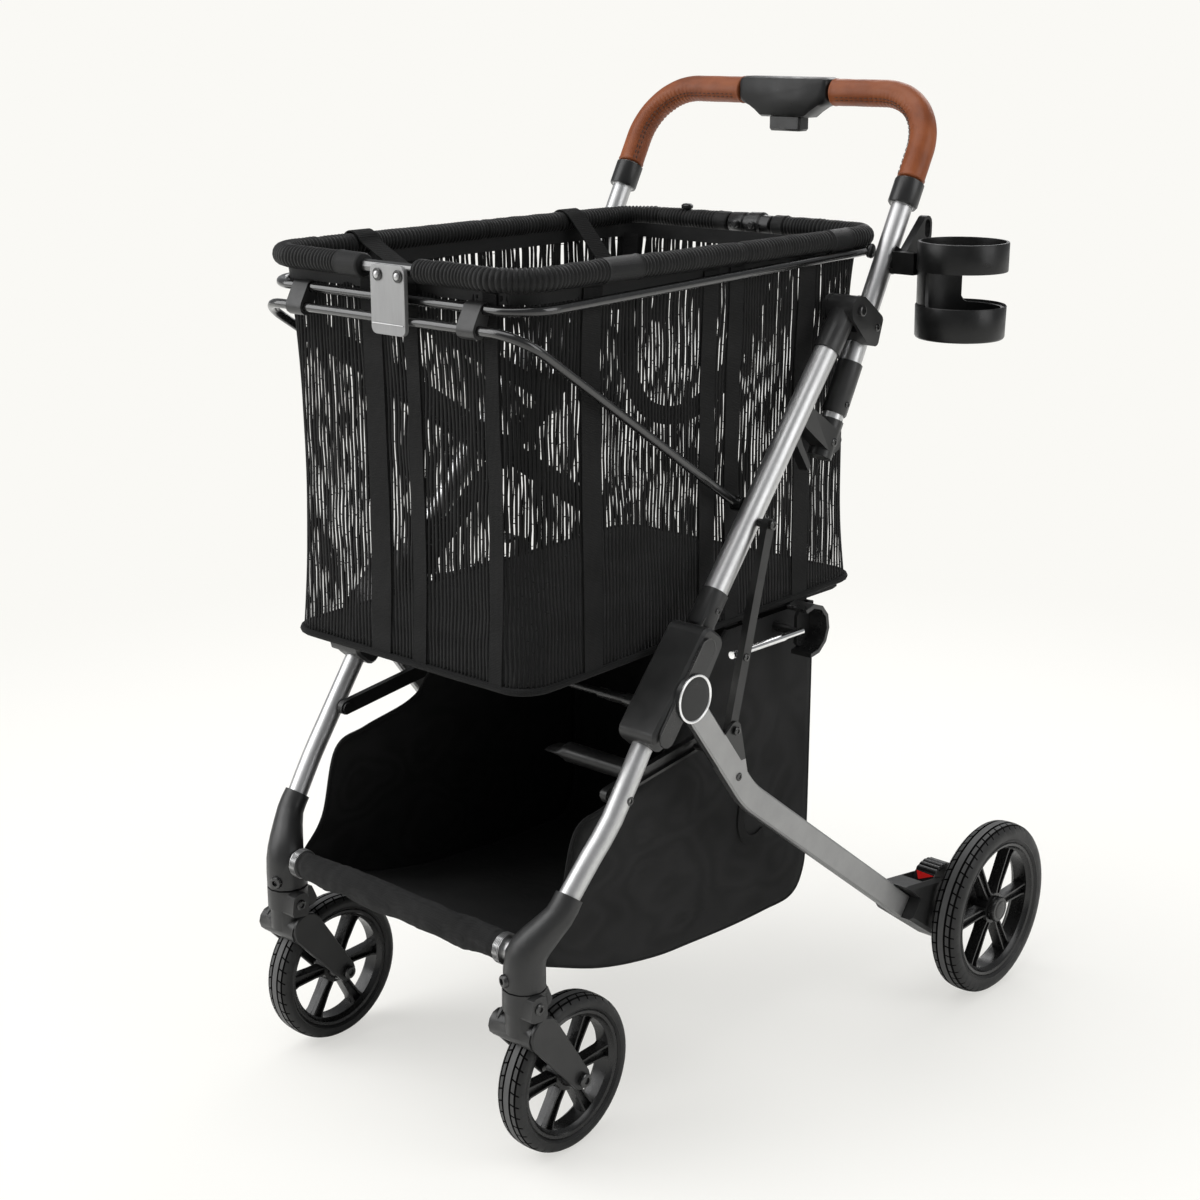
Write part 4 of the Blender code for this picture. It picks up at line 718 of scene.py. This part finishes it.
def cloth_sheet(rows, lift, seed):
    """A closed cloth sheet from rows of points, pushed in and out by soft folds."""
    count = len(rows)
    n = len(rows[0])
    normals = []
    moved = []
    for i, row in enumerate(rows):
        normals.append([])
        moved.append([])
        for k, p in enumerate(row):
            du = rows[min(i + 1, count - 1)][k] - rows[max(i - 1, 0)][k]
            dv = row[min(k + 1, n - 1)] - row[max(k - 1, 0)]
            normal = du.cross(dv).normalized()
            inside = min(1.0, min(i, count - 1 - i) / 4, min(k, n - 1 - k) / 4)
            fold = wobble(p.x * 11 + seed, p.y * 9, p.z * 12) * 0.7
            fold += wobble(p.x * 26, p.y * 24 + seed, p.z * 30) * 0.35
            normals[-1].append(normal)
            moved[-1].append(p + normal * (fold * lift * inside))
    shape = Shape()
    shape.sheet(moved, normals, 0.0018)
    return shape


def follow_fold(ob):
    """Bakes the piece's placement into its mesh."""
    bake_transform(ob)


def lower_bag():
    """Floor that runs up the back, two side panels and their piping."""
    floor = curve([(0, y, z) for y, z in FLOOR_LINE], 7)
    mouth = curve([(0, y, z) for y, z in MOUTH_LINE], 10)
    rows = []
    for p in floor:
        sag = 0.004 if p.y < 0.35 else 0.0
        across = [k / 15 - 1 for k in range(31)]
        rows.append([cart(u * BAG_HALF, p.y, p.z + sag * (1 - u * u)) for u in across])
    shape = cloth_sheet(rows, 0.004, 3.0)
    # The floor gets the darker cloth: painted shade inside the bag.
    pieces = [shape.piece("lower_bag_floor", CLOTH_SHADED, None, "black_cloth", crease=False)]
    for side, tag in SIDES:
        rows = []
        for i in range(41):
            a = floor[int(round(i / 40 * (len(floor) - 1)))]
            b = mouth[int(round(i / 40 * (len(mouth) - 1)))]
            line = [a.lerp(b, k / 24) for k in range(25)]
            rows.append([cart(side * (BAG_HALF + 0.0012), p.y, p.z) for p in line])
        panel = cloth_sheet(rows, 0.0045, 11.0 * side)
        side_ob = panel.piece("lower_bag_side_" + tag, CLOTH, None, "black_cloth", crease=False)
        trim = Shape()
        for line, r in ((floor, 0.0026), (mouth, 0.0024)):
            trim.sweep([cart(side * (BAG_HALF + 0.0010), p.y, p.z) for p in line], r, r, ACROSS, 8)
        pieces += [side_ob, trim.piece("lower_bag_piping_" + tag, WEBBING, None, "black_cloth")]
    for ob in pieces:
        follow_fold(ob)
    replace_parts(pieces[0], "lower_bag")


def bag_loop():
    """Webbing loop that hangs on the near side of the lower bag, behind the rear leg."""
    shape = Shape()
    pts = [(0.2850, 0.3180), (0.2820, 0.3000), (0.2768, 0.2780), (0.2765, 0.2600), (0.2850, 0.2450),
           (0.3010, 0.2395), (0.3157, 0.2440)]
    line = curve([cart(0.1806, y, z) for y, z in pts])
    shape.strip(line, [ACROSS] * len(line), 0.0110, 0.0022)
    ob = shape.piece("bag_loop_near", WEBBING, None, "black_cloth")
    follow_fold(ob)


def hem():
    """Wrinkled cloth round the bar between the front legs, and a ribbed ring at each end."""
    y, z = -0.0548, 0.2286
    count = 120
    around = [Vector((0, math.cos(w), math.sin(w))) for w in turns(28)]
    outer = []
    inner = []
    for k in range(count + 1):
        p = cart(-0.1472 + 0.2944 * k / count, y, z)
        r = 0.0152 + 0.0016 * wobble(p.x * 26, 1.0, 2.0) + 0.0005 * wobble(p.x * 120, 4.0, 2.0)
        if k < 3 or k > count - 3:
            r -= 0.0010
        outer.append([p + n * (r + 0.0026 * wobble(p.x * 34 + n.y * 1.6, n.z * 1.6, 5.0)) for n in around])
        inner.append([p + n * 0.0122 for n in around])
    shape = Shape()
    shape.loft(outer + inner[::-1], ring=True)
    ob = shape.piece("hem_cloth", CLOTH, "front_frame", "black_cloth", crease=False)
    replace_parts(ob, "hem_sleeve")
    ribs = [(a + step, r) for a in (0.0014, 0.0032, 0.0050)
            for step, r in ((0.0, 0.0158), (0.0006, 0.0151), (0.0012, 0.0158))]
    profile = [(0.0, 0.0112), (0.0, 0.0150), (0.0008, 0.0158), *ribs, (0.0072, 0.0158), (0.0080, 0.0150),
               (0.0080, 0.0112)]
    ends = Shape()
    for side in (1, -1):
        ends.lathe(cart(side * 0.1479, y, z), (side, 0, 0), profile, 40, ring=True)
    ends.piece("crossbar_rings", PALE_RING, "front_frame", "grey_steel")


# Hoops and grips

def hoops():
    """The two lacquered wire hoops round the basket, with their eyes."""
    x = 0.1808
    for name, start, nose, radius, low, high in (
        ("upper", (0.4765, 0.8586), (-0.0470, 0.8450), 0.040, 0.1822, 0.1860),
        ("lower", (0.2570, 0.6215), (-0.0550, 0.8265), 0.034, 0.1780, 0.1911),
    ):
        shape = Shape()
        corners = [cart(x, *start), cart(x, *nose), cart(-x, *nose), cart(-x, *start)]
        path, _ = even(rounded(corners, radius, 16), 0.006)
        shape.sweep(path, 0.0047, 0.0047, Vector((0, 0.2, 1)))
        eye = [(0, 0.0060), (0.0006, 0.0078), (high - low - 0.0006, 0.0078), (high - low, 0.0066)]
        for side in (1, -1):
            shape.lathe(cart(side * low, *start), (side, 0, 0), eye, 28)
        ob = shape.piece("wire_hoop_" + name, LACQUER, "frame", "black_steel", 50)
        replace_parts(ob, "hoop_" + name)


def grips():
    """Leather over foam: creased in the inner bend, with a seam and its stitches on the inner side."""
    top = 1.0170
    for side, tag in SIDES:
        corners = [on_handle(side * HANDLE_X, 0.9300), on_handle(side * HANDLE_X, top),
                   on_handle(side * 0.0626, top)]
        path, marks = even(rounded(corners, 0.066, 24), 0.0013)
        total = marks[-1]
        inner = 0.0 if side > 0 else math.pi
        seam = inner - side * 0.62
        rings = []
        stitches = Shape()
        last = -1.0
        for i, (p, s) in enumerate(zip(path, marks)):
            t = heading(path, i)
            u = t.cross(HANDLE_SQUARE).normalized()
            w = u.cross(t).normalized()
            bend = math.exp(-((s - total * 0.44) / 0.046) ** 2)
            swell = sum(0.0007 * math.exp(-((end - 0.0022) / 0.0012) ** 2) - 0.0016 * max(0.0, 1 - end / 0.0010)
                        for end in (s, total - s))
            ring = []
            for q in turns(44):
                toward = max(0.0, math.cos(q - inner))
                phase = math.tau * s / 0.0058 + 2.2 * wobble(s * 60, math.cos(q) * 1.4, 3.0)
                crease = (0.5 + 0.5 * math.sin(phase)) ** 2
                gap = abs((q - seam + math.pi) % math.tau - math.pi)
                r = 0.0147 + 0.00022 * wobble(s * 70, math.cos(q) * 2, math.sin(q) * 2) + swell
                r -= 0.0015 * toward ** 1.2 * bend * crease + 0.00045 * math.exp(-(gap / 0.09) ** 2)
                ring.append(p + u * (r * math.cos(q)) + w * (r * math.sin(q)))
            rings.append(ring)
            if s - last >= 0.0056 and 0.004 < s < total - 0.006:
                last = s
                for lean in (-0.115, 0.115):
                    q = seam + lean
                    out = u * math.cos(q) + w * math.sin(q)
                    a = p + out * 0.01475 - t * 0.0015
                    b = p + out * 0.01475 + t * 0.0015 + (w * math.cos(q) - u * math.sin(q)) * 0.0003
                    out *= 0.00035
                    stitches.sweep([a - out, a + out, b + out, b - out], 0.00036, 0.00036,
                                   HANDLE_SQUARE + Vector((0.1, 0, 0)), 6)
        shape = Shape()
        shape.loft(rings)
        ob = shape.piece("leather_grip_" + tag, LEATHER, "handle", "tan_leather", crease=False)
        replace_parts(ob, "grip_" + tag)
        stitches.piece("grip_stitches_" + tag, THREAD, "handle", "tan_leather", crease=False)


# Wheels

def tyre(name, centre, big, bead, half, body):
    """Rounded tyre with a plain band in the middle, thin blocks beside it and cut shoulders. The band and the
    block tops are coloured lighter as a painted highlight, and the grooves and cuts near black as painted shade.
    """
    blocks = 40 if big < 0.09 else 50
    places = (0.0, 0.07, 0.30, 0.52, 0.74, 0.93)
    per = len(places)
    half_marks = [(0.82, 0.00), (0.94, 0.10), (0.985, 0.14), (0.955, 0.20), (1.00, 0.38), (0.97, 0.58),
                  (0.88, 0.76), (0.72, 0.885), (0.66, 0.915), (0.60, 0.940), (0.36, 0.980), (0.29, 0.986),
                  (0.21, 0.992)]
    marks = [(-a, h) for a, h in half_marks] + half_marks[::-1]
    n = len(marks)
    cut = {6: 0.0006, 7: 0.0012, 9: 0.0020, 10: 0.0020, 15: 0.0020, 16: 0.0020, 18: 0.0012, 19: 0.0006}
    groove = {8: 0.0016, 11: 0.0024, 14: 0.0024, 17: 0.0016}
    rings = []
    for k in range(blocks * per):
        ring = []
        for j, (a, h) in enumerate(marks):
            r = bead + (big - bead) * h - groove.get(j, 0.0)
            if k % per == 0:
                r -= cut.get(j, 0.0)
            slant = 0.45 * (abs(a) - 0.25) if 0.25 < abs(a) < 0.97 else 0.0
            w = math.tau * (k // per + places[k % per] + slant) / blocks
            ring.append(Vector((centre[0] + a * half, centre[1] + r * math.cos(w), centre[2] + r * math.sin(w))))
        rings.append(ring)
    shape = Shape()
    shape.loft(rings, ring=True)
    ob = shape.piece(name, TYRE, body, "dark_tyre", 32)
    for mat in (TREAD_HIGHLIGHT, GROOVE_SHADE, BLOCK_HIGHLIGHT):
        ob.data.materials.append(mat)
    for face in ob.data.polygons:
        bands = {v % n for v in face.vertices}
        across = any(v // n % per == 0 for v in face.vertices)
        # The middle band gets the lighter painted highlight colour.
        if bands == {12, 13}:
            face.material_index = 1
        # The grooves and the cuts across the shoulders get the near-black painted shade.
        elif bands & set(groove) or across and bands <= set(cut):
            face.material_index = 2
        # The block tops get the lighter painted highlight colour.
        elif bands in ({9, 10}, {15, 16}):
            face.material_index = 3
    return ob


def wheel(name, centre, bead, half, hub, cap, body):
    """Rim with a deep well, six pairs of ribs and a hub."""
    shape = Shape()
    seat = bead - 0.0004
    well = bead - 0.0085
    lip = [(0.50, well), (0.62, seat - 0.0056), (0.80, seat - 0.0040), (0.86, seat - 0.0010), (0.82, seat)]
    profile = [(-half * a, r) for a, r in lip[::-1]] + [(half * a, r) for a, r in lip]
    shape.lathe(centre, ACROSS, profile, 96, ring=True)
    shape.lathe(centre, (cap or 1, 0, 0), [
        (-hub, 0.0085), (-hub + 0.0010, 0.0105), (-0.0085, 0.0120), (-0.0080, 0.0180), (0.0080, 0.0180),
        (0.0085, 0.0135), (hub - 0.0012, 0.0120), (hub, 0.0100)], 40)
    reach = (0.0150, 0.0300, well - 0.006, well + 0.001)
    web = ACROSS * 0.0026
    for k in range(6):
        w = math.radians(60 * k)
        out = Vector((0, math.cos(w), math.sin(w)))
        across = Vector((0, -math.sin(w), math.cos(w)))
        base = Vector(centre)
        for sign in (-1, 1):
            for face in (-1, 1):
                rings = []
                for t, gap, deep, wide in zip(reach, (0.0034, 0.0040, 0.0052, 0.0066),
                                              (0.0078, 0.0066, 0.0066, 0.0078),
                                              (0.0011, 0.0010, 0.0010, 0.0013)):
                    c = base + out * t + across * (sign * gap)
                    a = across * wide
                    lo = ACROSS * (face * 0.0015)
                    hi = ACROSS * (face * deep)
                    rings.append([c - a * 1.3 + lo, c + a * 1.3 + lo, c + a + hi, c - a + hi])
                shape.loft(rings)
        rings = []
        for t, wide in zip(reach, (0.0046, 0.0052, 0.0066, 0.0090)):
            c = base + out * t
            a = across * wide
            rings.append([c - a - web, c + a - web, c + a + web, c - a + web])
        shape.loft(rings)
    if cap:
        shape.lathe(centre, (cap, 0, 0), [
            (0.0100, 0.0150), (0.0150, 0.0150), (0.0165, 0.0140), (0.0170, 0.0115), (0.0166, 0.0105),
            (0.0172, 0.0098), (0.0175, 0.0080), (0.0175, 0.0010)], 36)
    return shape.piece(name, WHEEL, body, "black_moulding", 35)


def wheels():
    for side, tag in SIDES:
        for end, home, big, bead, half, hub, cap in (
            ("front_", cart(side * FRONT_WHEEL_X, 0, FRONT_R), FRONT_R, 0.0675, 0.0160, 0.0205, 0),
            ("rear_", cart(side * REAR_WHEEL_X, REAR_Y, REAR_R), REAR_R, 0.0800, 0.0170, 0.0165, side),
        ):
            body = end + "wheel_" + tag
            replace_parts(tyre("tread_" + end + tag, home, big, bead, half, body), "tyre_" + end + tag)
            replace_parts(wheel("spokes_" + end + tag, home, bead, half, hub, cap, body), "wheel_" + end + tag)


# Small fittings

HINGE_AXIS = Vector((0, 0.6519, 0.7583))
HINGE_SQUARE = Vector((0, 0.7583, -0.6519))


def hinge_trim():
    """Bright ring on each disc, its dark face, and the glossy edge of the cover plate."""
    ring, face, edge = Shape(), Shape(), Shape()
    long_edge = [(d, -0.0220 + 0.003 * (0.048 - d) / 0.094) for d in (0.052, 0.030, 0.0, -0.030, -0.050)]
    round_edge = [(0.0530, 0.0002), (0.0575, -0.0040), (0.0600, -0.0105), (0.0580, -0.0170), (0.0520, -0.0218)]
    for side in (1, -1):
        at = cart(side * 0.2414, 0.1196, 0.4602)
        ring.lathe(at, (side, 0, 0), [(0.0008, 0.0218), (0.0018, 0.0222), (0.0022, 0.0227), (0.0022, 0.0241),
                                      (0.0018, 0.0247), (0.0000, 0.0247)], 72, ring=True)
        face.lathe(at, (side, 0, 0), [(-0.0012, 0.0246), (0.0008, 0.0246), (0.0012, 0.0226), (0.0012, 0.0150),
                                      (0.0014, 0.0010)], 72)
        home = cart(side * 0.2403, *HINGE)
        for line, steps in ((long_edge, 1), (round_edge, 5)):
            path = curve([home + HINGE_AXIS * d + HINGE_SQUARE * e for d, e in line], steps)
            edge.sweep(path, 0.0005, 0.0004, ACROSS, 8)
    edge.piece("hinge_plate_edge", LACQUER, "front_frame", "black_moulding")
    ring.piece("hinge_bright_ring", BRIGHT, "front_frame", "chrome_steel")
    face.piece("hinge_disc_face", CUP_BLACK, "front_frame", "black_moulding")


def screw(shape, at, axis, r, proud):
    """A low round head with a hexagon socket."""
    shape.lathe(at, axis, [(-0.0006, r), (proud * 0.5, r), (proud * 0.9, r * 0.86), (proud, r * 0.60),
                           (proud, r * 0.48), (proud * 0.35, r * 0.44), (proud * 0.30, r * 0.10)], 20)


def fittings():
    """Screw heads: their places on the near side, the way they look, radius and height."""
    out, ahead = (1, 0), (-0.31, -0.95)
    for name, body, rows in (
        ("leg_screws", "front_frame", (
            (cart(0.2206, 0.0490, 0.3690), out, 0.0046, 0.0014),
            (cart(0.1714, -0.0756, 0.2080), ahead, 0.0068, 0.0042))),
        ("handle_screws", "handle", (
            (cart(0.2202, *PIVOT), out, 0.0056, 0.0014),
            (cart(0.2175, 0.4455, 0.7835), out, 0.0040, 0.0012),
            (on_handle(0.2106, 0.6690), out, 0.0046, 0.0012),
            (on_handle(0.2116, 0.7060), out, 0.0034, 0.0010))),
        ("frame_screws", "frame", (
            (cart(0.2362, 0.2470, 0.6094), out, 0.0050, 0.0014),
            (cart(0.2389, 0.1919, 0.4068), out, 0.0046, 0.0014),
            (cart(0.2369, 0.1990, 0.3552), out, 0.0044, 0.0010),
            (cart(0.2338, 0.2110, 0.4790), out, 0.0042, 0.0014),
            (cart(0.2220, 0.1790, 0.5312), out, 0.0036, 0.0010))),
    ):
        shape = Shape()
        for side in (1, -1):
            for place, (x, y), r, proud in rows:
                screw(shape, Vector((side * place.x, place.y, place.z)), (side * x, y, 0), r, proud)
        shape.piece(name, SCREW, body, "black_steel")
    for side, tag in SIDES:
        shape = Shape()
        for x, y, z, face, r, proud in (
            (0.0276, -0.0625, 0.1840, 1, 0.0058, 0.0022), (0.0298, 0, FRONT_R, 1, 0.0074, 0.0026),
            (-0.0300, 0, FRONT_R, -1, 0.0062, 0.0018), (-0.0318, -0.0590, 0.1500, -1, 0.0060, 0.0012),
        ):
            screw(shape, cart(side * FRONT_WHEEL_X + x, y, z), (face, 0, 0), r, proud)
        shape.piece("caster_screws_" + tag, SCREW, "caster_" + tag, "black_steel")


def hook():
    """Flat steel plate with round corners, riveted to the front of the bare tube."""
    left, right, low, high, r = -0.0045, 0.0418, 0.8128, 0.8776, 0.0065
    outline = []
    for corner, start in (((right - r, high - r), 0), ((left + r, high - r), 90), ((left + r, low + r), 180),
                          ((right - r, low + r), 270)):
        outline += [on_circle(corner, r, start + 15 * k) for k in range(7)]
    plate, lip, washers, domes = Shape(), Shape(), Shape(), Shape()
    layers = ((-0.0590, 0.985), (-0.0594, 1.0), (-0.0634, 1.0), (-0.0638, 0.985))
    plate.slab(outline, ((left + right) / 2, (low + high) / 2), layers, lambda y, x, z: cart(x, y, z))
    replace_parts(plate.piece("hook_sheet", HOOK, "frame", "satin_aluminium", 22), "hook_plate")
    line = [cart(x, -0.0640, 0.8229) for x in (left + 0.002, right - 0.002)]
    lip.sweep(line, 0.0006, 0.0006, UP, 8)
    lip.piece("hook_lip", STEEL, "frame", "satin_aluminium")
    for x in (0.0062, 0.0338):
        at = cart(x, -0.0636, 0.8682)
        washers.lathe(at, (0, -1, 0), [(0.0, 0.0060), (0.0012, 0.0060), (0.0018, 0.0054), (0.0018, 0.0036)], 28)
        domes.lathe(at, (0, -1, 0), [(0.0016, 0.0036), (0.0030, 0.0033), (0.0038, 0.0022), (0.0040, 0.0004)], 24)
    washers.piece("hook_washers", LACQUER, "frame", "black_steel")
    domes.piece("hook_rivets", STEEL, "frame", "black_steel")


def pedals():
    """The drum of each brake: ribs across its top and front, and the red mark below them."""
    centre, r = (0.5300, 0.1320), 0.0304
    outline = []
    for k in range(121):
        degrees = 176 - 151 * k / 120
        rib = 0.0016 * abs(math.sin(math.pi * (degrees - 60) / 13)) ** 0.6 if 60 < degrees < 125 else 0.0
        outline.append(on_circle(centre, r + rib, degrees))
    outline += [(0.5480, 0.1330), (0.5350, 0.1290), (0.5010, 0.1300)]
    corners = ((0.2560, 129.0), (0.2800, 131.5), (0.2630, 147.0))
    for side, tag in SIDES:
        drum, mark = Shape(), Shape()
        layers = [(side * x, grow) for x, grow in ((0.2536, 0.97), (0.2546, 1.0), (0.2794, 1.0), (0.2804, 0.97))]
        drum.slab(outline, centre, layers, cart)
        ob = drum.piece("pedal_drum_" + tag, BLACK_SOFT, "pedal_" + tag, "black_moulding", 30)
        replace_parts(ob, "brake_pedal_" + tag)
        mark.loft([[cart(side * x, *on_circle(centre, r + lift, degrees)) for x, degrees in corners]
                   for lift in (0.0006, 0.0012)])
        mark.piece("pedal_mark_" + tag, RED, "pedal_" + tag, "black_moulding")


def cup_bands():
    """The cup's plain upper band, and the step of its foot."""
    bands = Shape()
    for z, profile in (
        (0.8440, [(0.0, 0.0462), (0.0, 0.0470), (0.0010, 0.0473), (0.0290, 0.0474), (0.0300, 0.0468),
                  (0.0300, 0.0442), (0.0240, 0.0438)]),
        (0.7738, [(0.0, 0.0400), (0.0, 0.0446), (0.0008, 0.0458), (0.0026, 0.0468), (0.0340, 0.0474),
                  (0.0350, 0.0466), (0.0100, 0.0400)]),
    ):
        bands.lathe(cart(0.2835, 0.5000, z), UP, profile, 72, ring=True)
    bands.piece("cup_bands", CUP_BLACK, "handle", "black_moulding")


# Studio

PALE = (0.956, 0.947, 0.913, 1.0)


def aimed(name, data, at, toward):
    """A camera or lamp at a place, looking along a direction."""
    ob = bpy.data.objects.new(name, data)
    bpy.context.scene.collection.objects.link(ob)
    ob.location = at
    ob.rotation_mode = "QUATERNION"
    ob.rotation_quaternion = Vector(toward).to_track_quat("-Z", "Y")
    return ob


def lamps():
    """A broad sky from above and three soft panels."""
    sun = bpy.data.lights.new("sky_panel", "SUN")
    sun.energy = 1.7
    sun.angle = math.radians(60)
    aimed("sky_panel", sun, (0, 0, 0), (0.25, 0.30, -1.0))
    for name, at, target, size, power in (
        ("panel_left", (-1.7, -1.9, 1.7), (0, 0, 0.55), (2.0, 2.2), 42.0),
        ("panel_right", (2.4, 0.5, 1.7), (0, 0, 0.5), (1.4, 2.0), 22.0),
        ("panel_back", (-0.6, 2.4, 2.2), (0, 0, 0.6), (2.4, 1.2), 26.0),
    ):
        lamp = bpy.data.lights.new(name, "AREA")
        lamp.shape = "RECTANGLE"
        lamp.size, lamp.size_y = size
        lamp.energy = power
        aimed(name, lamp, at, Vector(target) - Vector(at))


def show(tree, fac, first, second, out):
    """Shows the second shader by the share of fac, and the first for the rest."""
    mix = node_of(tree, "MixShader", {"Fac": fac, 1: first.outputs[0], 2: second.outputs[0]})
    tree.links.new(mix.outputs[0], tree.nodes[out].inputs["Surface"])


def backdrop(scene):
    """Pale backdrop for what sees it, plain soft light for the rest."""
    scene.world = bpy.data.worlds.new("world")
    scene.world.use_nodes = True
    tree = scene.world.node_tree
    tree.nodes["Background"].inputs["Color"].default_value = PALE
    light = node_of(tree, "Background", {"Color": (0.96, 0.98, 1.0, 1.0), "Strength": 0.30})
    rays = node_of(tree, "LightPath", {}).outputs
    seen = math_of(tree, "MAXIMUM", rays["Is Camera Ray"], rays["Is Transmission Ray"])
    show(tree, seen, light, tree.nodes["Background"], "World Output")


def ground():
    """Pale floor. Part of its paleness is its own, more of it further out, so the shadow on it stays soft."""
    mat, tree = blank("floor_paper", 0.9, gloss=0.0)
    stops = [(0.0, (0.930, 0.921, 0.888)), (1.0, (0.950, 0.941, 0.907))]
    feed(tree, "Base Color", ramp(tree, noise_of(tree, coords(tree), 900.0), stops))
    away = vector_of(tree, "LENGTH", place_of(tree))
    sockets = {"Value": away, "From Min": 0.75, "From Max": 2.0, "To Min": 0.6, "To Max": 1.0}
    own = node_of(tree, "MapRange", sockets, interpolation_type="SMOOTHSTEP").outputs["Result"]
    seen = math_of(tree, "MULTIPLY", node_of(tree, "LightPath", {}).outputs["Is Camera Ray"], own)
    glow = node_of(tree, "Emission", {"Color": PALE})
    show(tree, seen, tree.nodes["Principled BSDF"], glow, "Material Output")
    middle = Vector((0, 0, -0.0005))
    floor = Shape()
    floor.loft([oval(middle, ACROSS, Vector((0, 1, 0)), r, r, 64) for r in (0.4, 30.0)], caps=False)
    floor.faces.append(tuple(range(64)))
    floor.piece("floor", mat, None, None)


def studio():
    scene = bpy.context.scene
    cam = bpy.data.cameras.new("camera")
    cam.sensor_width = 36.0
    cam.lens = 60.06
    az, el = 0.73238786, 0.28167945
    ahead = (-math.sin(az) * math.cos(el), math.cos(az) * math.cos(el), -math.sin(el))
    scene.camera = aimed("camera", cam, cart(1.40550, -1.31198, 1.09353), ahead)
    scene.view_settings.view_transform = "Standard"
    backdrop(scene)
    ground()
    lamps()


net()
tapes()
hanging_strap()
rim_band()
base_piping()
rim_sleeve()
rim_fittings()
rim_straps()
lower_bag()
hem()
hoops()
grips()
wheels()
hinge_trim()
fittings()
hook()
pedals()
cup_bands()
bag_loop()
studio()
